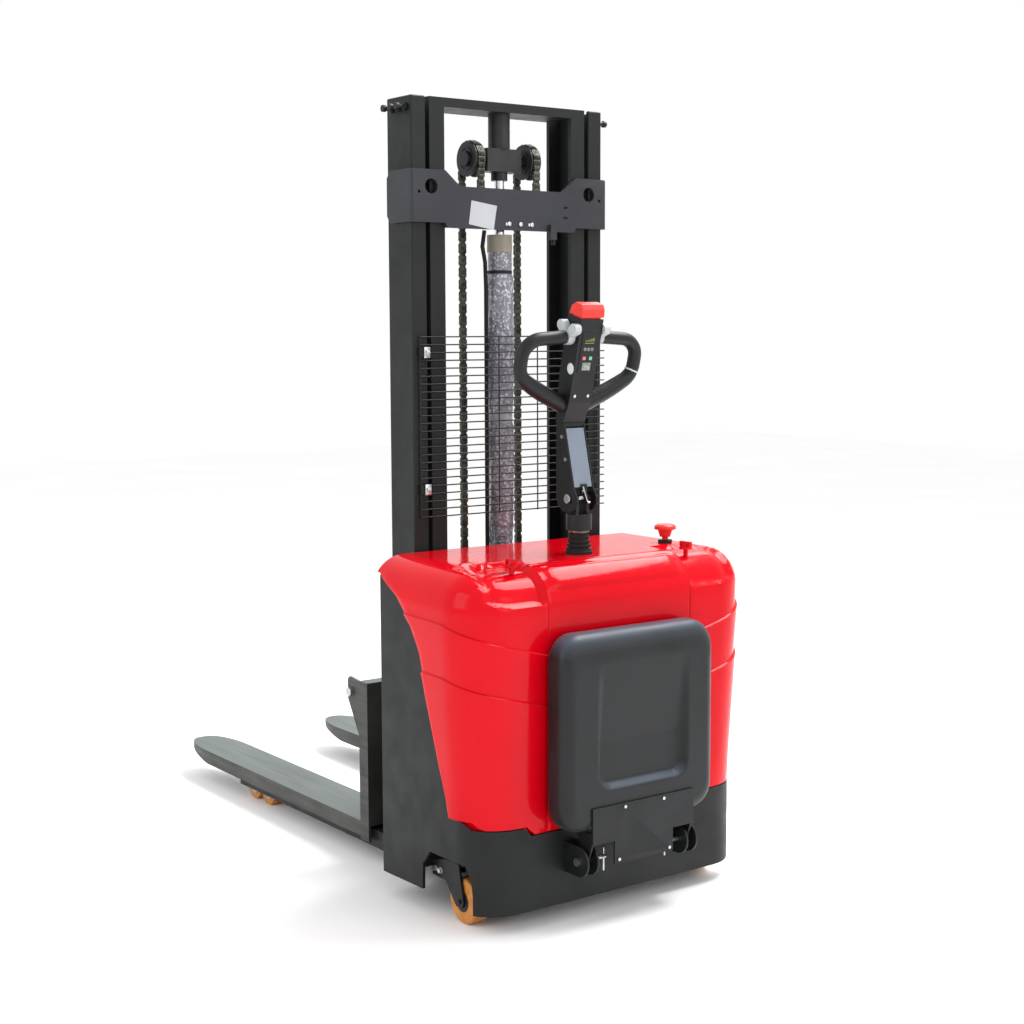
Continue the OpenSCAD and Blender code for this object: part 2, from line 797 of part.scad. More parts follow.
module platform_hinges() {
    r = 38;
    color(black) from_rear() both_sides() for (x = [141, 172]) difference() {
        union() {
            axle(x, x + 6, hinge_y, hinge_z, r);
            block([x, x + 6], [hinge_y, 0], [hinge_z - r, hinge_z + r]);
        }
        axle(x - eps, x + 7, hinge_y, hinge_z, 6);
    }
}

module platform_pins() {
    color(steel) from_rear() both_sides() {
        axle(95, 185, hinge_y, hinge_z, 6);
        axle(178, 185, hinge_y, hinge_z, 10);
        translate([99, hinge_y, hinge_z - 36]) cylinder(h = 58, r = 2.5);
    }
}

chassis_frame();
skirt();
support_leg_left();
support_leg_right();
hood_shell();
hood_panel();
battery();
hydraulic_pack();
controller();
outer_mast();
cross_plate();
mast_guard();
mast_bolts();
lift_cylinder();
cylinder_wrap();
hydraulic_hose();
estop_housing();
tiller_boot();
platform_hinges();
platform_pins();
load_roller_left_front();
load_roller_left_rear();
load_roller_right_front();
load_roller_right_rear();
estop_button();
latch_left();
latch_right();
drive_gearbox();
drive_motor();
steer_post();
drive_wheel();
tiller_pin();
tiller_arm();
tiller_cover();
tiller_head();
handle_loops();
display_panel();
tiller_screws();
throttle();
belly_button();
key_red();
key_green();
inner_mast();
lift_head();
piston_rod();
chain_wheel_left();
chain_wheel_right();
chain_wraps();
front_chains();
rear_chains();
carriage();
carriage_bolts();
fork_left();
fork_right();
caster_fork_left();
caster_fork_right();
caster_wheel_left();
caster_wheel_right();
platform_tray();
platform_bracket();
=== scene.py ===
"""Looks of the stand-on electric stacker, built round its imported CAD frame."""
import json
import math

import bmesh
import bpy
import numpy as np
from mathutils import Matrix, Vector, noise

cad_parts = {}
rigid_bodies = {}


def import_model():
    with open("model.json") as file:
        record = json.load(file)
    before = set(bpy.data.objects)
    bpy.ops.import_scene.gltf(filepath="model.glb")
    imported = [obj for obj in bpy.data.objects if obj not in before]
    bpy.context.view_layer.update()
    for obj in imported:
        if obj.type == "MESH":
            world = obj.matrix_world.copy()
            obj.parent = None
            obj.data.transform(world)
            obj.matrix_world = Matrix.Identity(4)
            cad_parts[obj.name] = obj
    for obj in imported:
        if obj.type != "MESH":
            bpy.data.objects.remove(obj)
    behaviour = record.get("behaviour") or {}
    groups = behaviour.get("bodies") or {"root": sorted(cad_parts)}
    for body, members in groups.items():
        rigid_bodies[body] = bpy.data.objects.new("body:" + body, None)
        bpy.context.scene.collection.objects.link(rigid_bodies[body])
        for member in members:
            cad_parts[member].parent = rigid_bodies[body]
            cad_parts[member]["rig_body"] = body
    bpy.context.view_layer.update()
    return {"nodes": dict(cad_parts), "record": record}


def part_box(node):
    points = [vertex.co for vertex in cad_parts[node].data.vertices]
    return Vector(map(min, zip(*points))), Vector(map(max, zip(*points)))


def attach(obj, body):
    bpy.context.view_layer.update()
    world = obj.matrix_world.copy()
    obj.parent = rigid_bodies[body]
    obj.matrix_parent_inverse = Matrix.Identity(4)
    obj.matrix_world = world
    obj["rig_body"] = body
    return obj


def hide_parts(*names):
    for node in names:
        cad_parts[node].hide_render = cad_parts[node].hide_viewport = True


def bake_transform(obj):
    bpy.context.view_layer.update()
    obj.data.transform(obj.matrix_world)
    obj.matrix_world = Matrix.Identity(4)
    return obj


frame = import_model()
NODES = frame["nodes"]
MM = 0.001

# Every place below comes from the frame. REAR is the skirt's rear face: lengthwise
# places are measured forward from it, as in the part's source.
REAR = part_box("skirt")[0].y


# ---- Camera, light and floor ----

def aim(obj, target):
    """Turn an object so that its -Z looks at a point."""
    obj.rotation_euler = (Vector(target) - obj.location).to_track_quat("-Z", "Y").to_euler()


def add_camera():
    data = bpy.data.cameras.new("camera")
    data.sensor_width = 36.0    # millimetres
    data.lens = 58.7
    data.shift_x = -0.0072
    camera = bpy.data.objects.new("camera", data)
    camera.location = (-2.616, REAR - 3.155, 1.4485)
    camera.rotation_euler = (math.radians(83.805), math.radians(0.187), math.radians(-36.17))
    bpy.context.scene.collection.objects.link(camera)
    bpy.context.scene.camera = camera


def add_light(name, place, target, width, power, height):
    """A soft rectangular light of a width and height in metres and a power in watts."""
    data = bpy.data.lights.new(name, "AREA")
    data.energy = power
    data.size = width
    data.shape = "RECTANGLE"
    data.size_y = height
    light = bpy.data.objects.new(name, data)
    light.location = place
    bpy.context.scene.collection.objects.link(light)
    aim(light, target)


def add_studio():
    """White surroundings, four soft lights and a pale floor."""
    world = bpy.data.worlds.new("studio")
    bpy.context.scene.world = world
    world.use_nodes = True
    back = world.node_tree.nodes["Background"]
    back.inputs["Color"].default_value = (1.0, 1.0, 1.0, 1.0)
    back.inputs["Strength"].default_value = 1.0
    bpy.context.scene.view_settings.view_transform = "Standard"
    add_light("overhead", (1.9, -0.8, 4.2), (0, -0.4, 0.7), 3.0, 210, 1.8)
    add_light("left_soft", (-4.6, -0.6, 2.6), (0, -0.2, 0.9), 2.6, 52, 3.4)
    add_light("rear_soft", (1.6, -5.2, 2.4), (0, -0.4, 0.8), 2.4, 34, 2.8)
    add_light("mast_edge", (2.8, 2.2, 3.2), (0, 0.1, 1.2), 2.0, 30, 2.0)
    mesh = bpy.data.meshes.new("floor")
    side = 14.0    # half the floor's width, in metres
    mesh.from_pydata([(-side, -side, 0), (side, -side, 0), (side, side, 0), (-side, side, 0)],
                     [], [(0, 1, 2, 3)])
    floor = bpy.data.objects.new("floor", mesh)
    bpy.context.scene.collection.objects.link(floor)
    mesh.materials.append(studio_floor())


# ---- Materials ----

# A Mix node's two colour inputs and its colour output
MIX_A, MIX_B, MIX_OUT = 6, 7, 2


def linear(code):
    """An sRGB hex colour as linear RGBA."""
    channels = [int(code[i:i + 2], 16) / 255 for i in (1, 3, 5)]
    return tuple(c / 12.92 if c <= 0.04045 else ((c + 0.055) / 1.055) ** 2.4
                 for c in channels) + (1.0,)


def add(tree, kind, links=None, **settings):
    """Add a node; settings are its properties or input values, links its linked inputs."""
    made = tree.nodes.new(kind)
    for key, value in settings.items():
        if hasattr(made, key):
            setattr(made, key, value)
        else:
            made.inputs[key.replace("_", " ")].default_value = value
    for key, source in (links or {}).items():
        tree.links.new(source, made.inputs[key])
    return made


def new_material(name, **shader):
    """A material with one Principled shader; returns the material, its tree and the shader."""
    material = bpy.data.materials.new(name)
    material.use_nodes = True
    tree = material.node_tree
    bsdf = tree.nodes["Principled BSDF"]
    for key, value in shader.items():
        bsdf.inputs[key.replace("_", " ")].default_value = value
    return material, tree, bsdf


def grain(tree, size_mm, detail=2.0, stretch=(1, 1, 1), distort=0.0):
    """Noise on object coordinates whose features are about size_mm across."""
    coord = add(tree, "ShaderNodeTexCoord")
    scale = [s / (size_mm * MM) for s in stretch]
    mapping = add(tree, "ShaderNodeMapping", {"Vector": coord.outputs["Object"]}, Scale=scale)
    return add(tree, "ShaderNodeTexNoise", {"Vector": mapping.outputs["Vector"]},
               Scale=1.0, Detail=detail, Distortion=distort)


def ramp(tree, source, low, high, start, end):
    """Blend two colours over a stretch of a value."""
    made = add(tree, "ShaderNodeValToRGB", {"Fac": source})
    stops = made.color_ramp.elements
    stops[0].position, stops[0].color = start, low
    stops[1].position, stops[1].color = end, high
    return made.outputs["Color"]


def grey(value):
    return (value, value, value, 1.0)


def add_bump(tree, bsdf, height, strength, distance_mm):
    bump = add(tree, "ShaderNodeBump", {"Height": height}, Strength=strength,
               Distance=distance_mm * MM)
    tree.links.new(bump.outputs["Normal"], bsdf.inputs["Normal"])


def studio_floor():
    """Matt paper sweep, almost white, with the faintest mottling."""
    material, tree, bsdf = new_material("paper_sweep", Roughness=0.9)
    mottle = grain(tree, 900)
    tree.links.new(ramp(tree, mottle.outputs["Fac"], linear("#fbfbfb"), linear("#fefefe"), 0.3, 0.7),
                   bsdf.inputs["Base Color"])
    return material


def painted(name, dark, light, roughness, peel_mm=1.6, bump=0.12, coat=0.0, gloss=0.3):
    """Sprayed or powder-coated steel: broad tone changes, orange peel, uneven sheen."""
    material, tree, bsdf = new_material(name, Coat_Weight=coat, Coat_Roughness=0.2,
                                        Specular_IOR_Level=gloss)
    broad = grain(tree, 260, 4.0, (1, 1, 0.5))
    tree.links.new(ramp(tree, broad.outputs["Fac"], linear(dark), linear(light), 0.3, 0.72),
                   bsdf.inputs["Base Color"])
    smudge = grain(tree, 70, 5.0)
    tree.links.new(ramp(tree, smudge.outputs["Fac"], grey(roughness - 0.06), grey(roughness + 0.1),
                        0.35, 0.7), bsdf.inputs["Roughness"])
    peel = grain(tree, peel_mm, 2.0)
    add_bump(tree, bsdf, peel.outputs["Fac"], bump, 0.3)
    return material


def moulded(name, colour, light, roughness, texture_mm=1.2, bump=0.25, sheen=0.0, dust_and_painted_highlight=None):
    """Moulded plastic or rubber: even colour, fine texture, perhaps a painted highlight on its upper
    slopes.
    """
    material, tree, bsdf = new_material(name, Sheen_Weight=sheen, Sheen_Roughness=0.4,
                                        Specular_IOR_Level=0.3)
    broad = grain(tree, 120, 3.0)
    base = ramp(tree, broad.outputs["Fac"], linear(colour), linear(light), 0.3, 0.75)
    # upward-facing slopes blend towards a lighter colour: a painted highlight standing in for the
    # overhead light
    if dust_and_painted_highlight:
        geometry = add(tree, "ShaderNodeNewGeometry")
        parts = add(tree, "ShaderNodeSeparateXYZ", {"Vector": geometry.outputs["Normal"]})
        facing = add(tree, "ShaderNodeMapRange", {"Value": parts.outputs["Z"]},
                     From_Min=0.2, From_Max=0.8)
        mix = add(tree, "ShaderNodeMix", {"Factor": facing.outputs["Result"]}, data_type="RGBA")
        tree.links.new(base, mix.inputs[MIX_A])
        mix.inputs[MIX_B].default_value = linear(dust_and_painted_highlight)
        base = mix.outputs[MIX_OUT]
    tree.links.new(base, bsdf.inputs["Base Color"])
    tree.links.new(ramp(tree, broad.outputs["Fac"], grey(roughness - 0.04), grey(roughness + 0.08),
                        0.3, 0.7), bsdf.inputs["Roughness"])
    texture = grain(tree, texture_mm, 2.0)
    add_bump(tree, bsdf, texture.outputs["Fac"], bump, 0.15)
    return material


def glossy_hood():
    """Vacuum-formed ABS with a high gloss: deep red, slightly wavy, duller where dust lies."""
    material, tree, bsdf = new_material("glossy_red_abs", Coat_Weight=0.07, Coat_Roughness=0.05,
                                        Specular_IOR_Level=0.12)
    broad = grain(tree, 320, 3.0)
    tree.links.new(ramp(tree, broad.outputs["Fac"], linear("#c20011"), linear("#d00417"), 0.3, 0.7),
                   bsdf.inputs["Base Color"])
    dust_and_painted_highlight = grain(tree, 22, 6.0, (1, 1, 0.35))
    tree.links.new(ramp(tree, dust_and_painted_highlight.outputs["Fac"], grey(0.10), grey(0.24), 0.45, 0.8),
                   bsdf.inputs["Roughness"])
    wave = grain(tree, 60, 1.5)
    add_bump(tree, bsdf, wave.outputs["Fac"], 0.10, 1.2)
    return material


def worn_fork():
    """Fork paint scuffed by pallets: pale grey-green on top, dark on the sides."""
    material, tree, bsdf = new_material("scuffed_fork_paint")
    streak = grain(tree, 16, 6.0, (1, 0.06, 1), 0.4)
    blotch = grain(tree, 110, 5.0)
    top = ramp(tree, streak.outputs["Fac"], linear("#505956"), linear("#737b78"), 0.3, 0.75)
    side = ramp(tree, blotch.outputs["Fac"], linear("#262724"), linear("#383934"), 0.3, 0.7)
    geometry = add(tree, "ShaderNodeNewGeometry")
    parts = add(tree, "ShaderNodeSeparateXYZ", {"Vector": geometry.outputs["Normal"]})
    facing = add(tree, "ShaderNodeMapRange", {"Value": parts.outputs["Z"]},
                 From_Min=0.6, From_Max=0.95)
    mix = add(tree, "ShaderNodeMix", {"Factor": facing.outputs["Result"]}, data_type="RGBA")
    tree.links.new(side, mix.inputs[MIX_A])
    tree.links.new(top, mix.inputs[MIX_B])
    tree.links.new(mix.outputs[MIX_OUT], bsdf.inputs["Base Color"])
    tree.links.new(ramp(tree, streak.outputs["Fac"], grey(0.42), grey(0.68), 0.3, 0.75),
                   bsdf.inputs["Roughness"])
    add_bump(tree, bsdf, streak.outputs["Fac"], 0.2, 0.3)
    return material


def metal(name, dark, light, roughness, grain_mm=0.8, stretch=(1, 1, 1), metallic=1.0, bump=0.1):
    """Bare or plated metal: faint tone changes and the marks of its making."""
    material, tree, bsdf = new_material(name, Metallic=metallic)
    broad = grain(tree, 25, 4.0)
    tree.links.new(ramp(tree, broad.outputs["Fac"], linear(dark), linear(light), 0.3, 0.7),
                   bsdf.inputs["Base Color"])
    marks = grain(tree, grain_mm, 3.0, stretch)
    tree.links.new(ramp(tree, marks.outputs["Fac"], grey(roughness - 0.06), grey(roughness + 0.1),
                        0.3, 0.7), bsdf.inputs["Roughness"])
    add_bump(tree, bsdf, marks.outputs["Fac"], bump, 0.1)
    return material


def urethane(name, dark, light):
    """Cast polyurethane tyre: waxy, a little translucent, scuffed where it rolls."""
    material, tree, bsdf = new_material(name, Subsurface_Weight=0.12, Subsurface_Scale=0.004,
                                        IOR=1.5)
    broad = grain(tree, 18, 5.0)
    tree.links.new(ramp(tree, broad.outputs["Fac"], linear(dark), linear(light), 0.3, 0.7),
                   bsdf.inputs["Base Color"])
    scuff = grain(tree, 3, 3.0)
    tree.links.new(ramp(tree, scuff.outputs["Fac"], grey(0.32), grey(0.55), 0.35, 0.7),
                   bsdf.inputs["Roughness"])
    add_bump(tree, bsdf, scuff.outputs["Fac"], 0.15, 0.2)
    return material


def bubble_film():
    """Bubble wrap pulled round the cylinder: silvery film, crushed 8 mm bubbles, long creases."""
    material, tree, bsdf = new_material("bubble_wrap_film", Coat_Weight=0.7, Coat_Roughness=0.12,
                                        Metallic=0.15)
    coord = add(tree, "ShaderNodeTexCoord")
    bubble_mm = 8
    bubbles = add(tree, "ShaderNodeTexVoronoi", {"Vector": coord.outputs["Object"]},
                  Scale=1 / (bubble_mm * MM), Randomness=1.0)
    crease = grain(tree, 30, 6.0, (1, 1, 0.3), 1.5)
    tone = add(tree, "ShaderNodeMath", {0: crease.outputs["Fac"], 1: bubbles.outputs["Distance"]},
               operation="SUBTRACT")
    tree.links.new(ramp(tree, tone.outputs["Value"], linear("#6d6d76"), linear("#bfbfc8"), 0.0, 0.42),
                   bsdf.inputs["Base Color"])
    tree.links.new(ramp(tree, crease.outputs["Fac"], grey(0.18), grey(0.5), 0.3, 0.7),
                   bsdf.inputs["Roughness"])
    add_bump(tree, bsdf, tone.outputs["Value"], 0.75, 3.0)
    return material


def display_glass():
    """Reflective liquid-crystal window behind clear acrylic."""
    material, tree, bsdf = new_material("display_window", Roughness=0.08, Coat_Weight=1.0,
                                        Coat_Roughness=0.04)
    rows = grain(tree, 6, 0.0)
    tree.links.new(ramp(tree, rows.outputs["Fac"], linear("#6c776b"), linear("#869283"), 0.4, 0.6),
                   bsdf.inputs["Base Color"])
    return material


# Painted steel: powder coat is dull and faintly pebbled, sprayed paint blacker and smoother
POWDER = painted("charcoal_powder_coat", "#131515", "#1c1e1e", 0.46, 1.6, 0.18, gloss=0.24)
PLATE_PAINT = painted("slate_powder_coat", "#27282d", "#313237", 0.44, 1.6, 0.18, gloss=0.3)
SATIN_BLACK = painted("satin_black_paint", "#0f1112", "#181a1c", 0.42, 1.4, 0.12)
COVER_PAINT = painted("blue_grey_paint", "#6c7582", "#7c8592", 0.34, 1.4, 0.08, 0.3)
# Plastics and rubber: the hood mirrors its surroundings, buttons and keys have a soft shine,
# textured polypropylene and foam skin are dull, rubber is duller still
RED_ABS = glossy_hood()
RED_BUTTON = moulded("red_button_abs", "#d42a24", "#e4423a", 0.30, 2.0, 0.06)
BLACK_PP = moulded("textured_black_polypropylene", "#0f1012", "#181a1c", 0.40, 1.1, 0.30)
# the foam skin's upward-facing slopes turn a lighter bluish grey: painted highlight
TRAY_SKIN = moulded("integral_skin_foam", "#131516", "#1e2022", 0.42, 2.2, 0.35, 0.06, "#3e4652")
WHITE_NYLON = moulded("white_nylon", "#a9b0b3", "#bcc3c6", 0.36, 1.4, 0.08)
KEY_GREEN = moulded("green_key_silicone", "#5fbb92", "#77caa6", 0.35, 1.0, 0.05)
KEY_RED = moulded("red_key_silicone", "#e0606a", "#ec7d84", 0.35, 1.0, 0.05)
RUBBER = moulded("black_moulded_rubber", "#0e0f10", "#171819", 0.62, 1.0, 0.30)
# Metals: zinc plate is bright and a little cloudy, chrome a clean mirror drawn along the rod,
# oiled chain dark with bright wear, castings rough
ZINC = metal("bright_zinc_plate", "#b4b6b8", "#d0d2d3", 0.28, 0.6)
CHROME = metal("hard_chrome_rod", "#d5d8db", "#e6e8ea", 0.10, 0.5, (1, 1, 0.1))
CHAIN = metal("oiled_chain_steel", "#25241e", "#55534a", 0.34, 1.0, metallic=0.6)
CASTING = metal("painted_cast_iron", "#141517", "#202123", 0.46, 1.5, metallic=0.2, bump=0.35)
MOTOR = metal("cast_aluminium_case", "#6f7276", "#85888c", 0.48, 1.5, metallic=0.6, bump=0.3)
FORK = worn_fork()
# Tyres: cast urethane looks waxy, orange on casters and load rollers, black on the drive wheel
ORANGE_PU = urethane("orange_polyurethane", "#b06a24", "#c58438")
BLACK_PU = urethane("black_polyurethane", "#1b1b1c", "#2a2a2b")
# Small finishes: film, window, plugs, tapes, the greased bearing ring, ink and paper
BUBBLE = bubble_film()
LCD = display_glass()
PALE_PLUG = moulded("pale_plug_nylon", "#d4d9db", "#e4e8ea", 0.4, 1.4, 0.05)
TAPE = moulded("clear_packing_tape", "#8c8c92", "#a9a9ae", 0.2, 3.0, 0.1)
BROWN_TAPE = moulded("brown_packing_tape", "#76716a", "#96917f", 0.3, 3.0, 0.1)
BEARING = metal("greased_bearing_steel", "#5e564b", "#857b6c", 0.3, 0.6)
YELLOW_INK = moulded("yellow_panel_ink", "#8d8a3e", "#a5a152", 0.5, 1.0, 0.05)
PAPER = painted("blank_paper_label", "#a8aaae", "#b9bbbf", 0.8, 0.5, 0.05)


# ---- Objects made from the CAD's nodes ----

SHARP = 30.0                 # edges sharper than this many degrees are rounded
EAR_X, EAR_Y = 317, 451      # the cross plate's outer corner, in millimetres


def link(name, mesh, material, body=None, replaces=()):
    """Make an object of a mesh, give it its material and let it ride on its body."""
    obj = bpy.data.objects.new(name, mesh)
    bpy.context.scene.collection.objects.link(obj)
    if material and not mesh.materials:
        mesh.materials.append(material)
    if body:
        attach(obj, body)
    if replaces:
        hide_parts(*replaces)
    return obj


def plain_mesh(obj, name):
    """The evaluated object as a plain mesh, with the object removed."""
    graph = bpy.context.evaluated_depsgraph_get()
    mesh = bpy.data.meshes.new_from_object(obj.evaluated_get(graph), depsgraph=graph)
    mesh.name = name
    source = obj.data
    bpy.data.objects.remove(obj)
    if source.users == 0 and isinstance(source, bpy.types.Mesh):
        bpy.data.meshes.remove(source)
    return mesh


def smooth(mesh, angle):
    """Smooth shading with edges sharper than the angle kept crisp."""
    mesh.polygons.foreach_set("use_smooth", [True] * len(mesh.polygons))
    mesh.set_sharp_from_angle(angle=math.radians(angle))


def softened(node, material, width, round_first=None):
    """A CAD node's own shape with its edges rounded, in place of the node."""
    body = NODES[node]["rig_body"]
    mesh = NODES[node].data.copy()
    mesh.materials.clear()
    bm = bmesh.new()
    bm.from_mesh(mesh)
    bmesh.ops.remove_doubles(bm, verts=bm.verts, dist=0.02 * MM)
    bmesh.ops.dissolve_limit(bm, angle_limit=math.radians(1.5), verts=bm.verts, edges=bm.edges)
    if round_first:
        round_first(bm)
    bm.to_mesh(mesh)
    bm.free()
    obj = bpy.data.objects.new(node + "_soft", mesh)
    bpy.context.scene.collection.objects.link(obj)
    bevel = obj.modifiers.new("edges", "BEVEL")
    bevel.width = width * MM
    bevel.segments = 2
    bevel.limit_method = "ANGLE"
    bevel.angle_limit = math.radians(SHARP)
    bevel.use_clamp_overlap = True
    bevel.harden_normals = True
    smooth(mesh, SHARP)
    bpy.context.view_layer.update()
    final = plain_mesh(obj, node + "_finished")
    final.materials.clear()
    link(node + "_finished", final, material, body, (node,))


def round_ears(bm):
    """Bend the cross plate's outer corners instead of leaving them square."""
    near, tall = 0.5 * MM, 50 * MM
    bends = [e for e in bm.edges
             if all(abs(abs(v.co.x) - EAR_X * MM) < near and abs(v.co.y - REAR - EAR_Y * MM) < near
                    for v in e.verts)
             and abs(e.verts[0].co.z - e.verts[1].co.z) > tall]
    bmesh.ops.bevel(bm, geom=bends, offset=8.5 * MM, segments=5, profile=0.5, affect="EDGES")


def paint(node, material):
    """Keep a CAD node and give it a better material."""
    slots = NODES[node].data.materials
    slots.clear()
    slots.append(material)


def grid_mesh(name, points, close_u=False, close_v=False):
    """A quad mesh from an array of points [rows, columns, 3]."""
    rows, columns = points.shape[:2]
    index = np.arange(rows * columns).reshape(rows, columns)
    if close_u:
        index = np.concatenate([index, index[:, :1]], axis=1)
    if close_v:
        index = np.concatenate([index, index[:1]], axis=0)
    quads = np.stack([index[:-1, :-1], index[:-1, 1:], index[1:, 1:], index[1:, :-1]], axis=-1)
    mesh = bpy.data.meshes.new(name)
    mesh.from_pydata(points.reshape(-1, 3).tolist(), [], quads.reshape(-1, 4).tolist())
    mesh.update()
    return mesh


add_camera()
add_studio()


# ---- Places ----

def placed(points):
    """Millimetres (across, forward of the rear face, up) as metres in the machine's frame."""
    return np.asarray(points, float) * MM + np.array([0.0, REAR, 0.0])


# Centres in millimetres, as (forward of the rear face, up)
CHAIN_WHEEL = (512, 1896)
CYLINDER_Y = 512
STEER_Y = 169
HEAD_FOOT = (165, 1268)
HEAD_LEAN = math.radians(14)


def on_head(points):
    """Points in the tiller head's leaning frame, in millimetres, as metres in the machine's frame."""
    p = np.asarray(points, float)
    y = HEAD_FOOT[0] + p[..., 1] * math.cos(HEAD_LEAN) - p[..., 2] * math.sin(HEAD_LEAN)
    z = HEAD_FOOT[1] + p[..., 1] * math.sin(HEAD_LEAN) + p[..., 2] * math.cos(HEAD_LEAN)
    return placed(np.stack([p[..., 0], y, z], axis=-1))


def step(value, start, end):
    """Smooth step from 0 at start to 1 at end."""
    t = np.clip((value - start) / (end - start), 0, 1)
    return t * t * (3 - 2 * t)


# ---- Making meshes ----

def clean(mesh, merge=0.02, fill=False):
    """Merge doubled points, close open ends if asked, and turn normals outwards."""
    bm = bmesh.new()
    bm.from_mesh(mesh)
    bmesh.ops.remove_doubles(bm, verts=bm.verts, dist=merge * MM)
    if fill:
        bmesh.ops.holes_fill(bm, edges=bm.edges, sides=400)
    bmesh.ops.recalc_face_normals(bm, faces=bm.faces)
    bm.to_mesh(mesh)
    bm.free()
    return mesh


def rounded(path, radius, steps=7):
    """A path with its corners turned into arcs."""
    points = [Vector(p) for p in path]
    out = [points[0]]
    for before, corner, after in zip(points, points[1:], points[2:]):
        back, ahead = before - corner, after - corner
        reach = min(radius, back.length * 0.48, ahead.length * 0.48)
        start, end = corner + back.normalized() * reach, corner + ahead.normalized() * reach
        for i in range(steps + 1):
            t = i / steps
            out.append(start * (1 - t) ** 2 + corner * 2 * t * (1 - t) + end * t * t)
    return out + [points[-1]]


def sweep(name, path, radius, sides=20):
    """A round bar of a radius, or of one radius for each point, along a path; closed ends."""
    points = [Vector(p) for p in path]
    legs = [(b - a).normalized() for a, b in zip(points, points[1:])]
    tangents = [legs[0]] + [(a + b).normalized() for a, b in zip(legs, legs[1:])] + [legs[-1]]
    radii = radius if hasattr(radius, "__len__") else [radius] * len(points)
    side = tangents[0].orthogonal().normalized()
    turns = [2 * math.pi * i / sides for i in range(sides)]
    rings = []
    for point, tangent, r in zip(points, tangents, radii):
        side = (side - tangent * side.dot(tangent)).normalized()
        up = tangent.cross(side)
        rings.append([point + (side * math.cos(a) + up * math.sin(a)) * r for a in turns])
    return clean(grid_mesh(name, np.array(rings), close_u=True), 0.001, fill=True)


def box_mesh(name, low, high, place=placed):
    """A box between two corners given in millimetres."""
    corners = [(x, y, z) for x in (low[0], high[0]) for y in (low[1], high[1])
               for z in (low[2], high[2])]
    faces = [(0, 1, 3, 2), (4, 6, 7, 5), (0, 4, 5, 1), (2, 3, 7, 6), (0, 2, 6, 4), (1, 5, 7, 3)]
    mesh = bpy.data.meshes.new(name)
    mesh.from_pydata(place(corners).tolist(), [], faces)
    return clean(mesh)


def upright_ring(name, y, corners, sides):
    """A closed ring about an upright axis; corners are the (radius, height) of its section."""
    turns = np.linspace(0, 2 * math.pi, sides, endpoint=False)
    rows = [[(r * math.cos(a), y + r * math.sin(a), z) for a in turns] for r, z in corners]
    return clean(grid_mesh(name, placed(rows), close_u=True, close_v=True), 0.001)


def joined(name, meshes):
    """Several meshes as one."""
    bm = bmesh.new()
    for mesh in meshes:
        bm.from_mesh(mesh)
        bpy.data.meshes.remove(mesh)
    out = bpy.data.meshes.new(name)
    bm.to_mesh(out)
    bm.free()
    return out


def modified(mesh, name, *modifiers):
    """A mesh after modifiers, each given as (kind, settings)."""
    obj = bpy.data.objects.new(name, mesh)
    bpy.context.scene.collection.objects.link(obj)
    for kind, settings in modifiers:
        modifier = obj.modifiers.new(kind.lower(), kind)
        for key, value in settings.items():
            setattr(modifier, key, value)
    return plain_mesh(obj, name)


def edges_rounded(width, segments=2, angle=30.0):
    """Bevel settings for edges sharper than an angle."""
    return ("BEVEL", {"width": width * MM, "segments": segments, "limit_method": "ANGLE",
                      "angle_limit": math.radians(angle), "harden_normals": False})


def piece(name, mesh, material, body, replaces=(), angle=35.0):
    """A finished piece: smooth shaded, painted, riding on its body."""
    smooth(mesh, angle)
    link(name, mesh, material, body, replaces)


# ---- Finishes by record slot ----

FINISH = {
    "charcoal_steel": POWDER, "black_steel": SATIN_BLACK, "fork_steel": FORK,
    "red_moulding": RED_ABS, "red_button": RED_BUTTON, "black_plastic": BLACK_PP,
    "cover_grey": COVER_PAINT, "white_plastic": WHITE_NYLON, "green_plastic": KEY_GREEN,
    "bright_steel": ZINC, "chrome_rod": CHROME, "chain_steel": CHAIN, "dark_casting": CASTING,
    "bubble_film": BUBBLE, "rubber": RUBBER, "orange_tyre": ORANGE_PU, "black_tyre": BLACK_PU,
    "battery_case": BLACK_PP, "motor_steel": MOTOR,
}
SLOT = {part["node"]: part["material_slot"] for part in frame["record"]["subparts"]}

# Width in millimetres of the rounding on each softened node's edges
EDGES = {
    "outer_mast": 4, "inner_mast": 3, "cross_plate": 1.2, "lift_head": 2, "carriage": 2,
    "fork_left": 2.5, "fork_right": 2.5, "tiller_arm": 0.8, "tiller_cover": 0.8,
    "tiller_head": 1.5, "throttle": 2.5, "belly_button": 1.6, "key_red": 1, "key_green": 1,
    "display_panel": 0.4, "platform_bracket": 1.2, "platform_hinges": 1.2, "platform_pins": 0.6,
    "caster_fork_left": 1.2, "caster_fork_right": 1.2, "caster_wheel_left": 2,
    "caster_wheel_right": 2, "support_leg_left": 2, "support_leg_right": 2, "skirt": 1.2,
    "chassis_frame": 1, "estop_housing": 1.5, "estop_button": 2, "latch_left": 1.6,
    "latch_right": 1.6, "tiller_boot": 1.5, "steer_post": 1.2, "tiller_pin": 1,
    "drive_wheel": 2, "mast_bolts": 1, "carriage_bolts": 1, "lift_cylinder": 1.5,
    "chain_wheel_left": 1, "chain_wheel_right": 1, "load_roller_left_front": 2,
    "load_roller_left_rear": 2, "load_roller_right_front": 2, "load_roller_right_rear": 2,
}


# ---- Hood ----

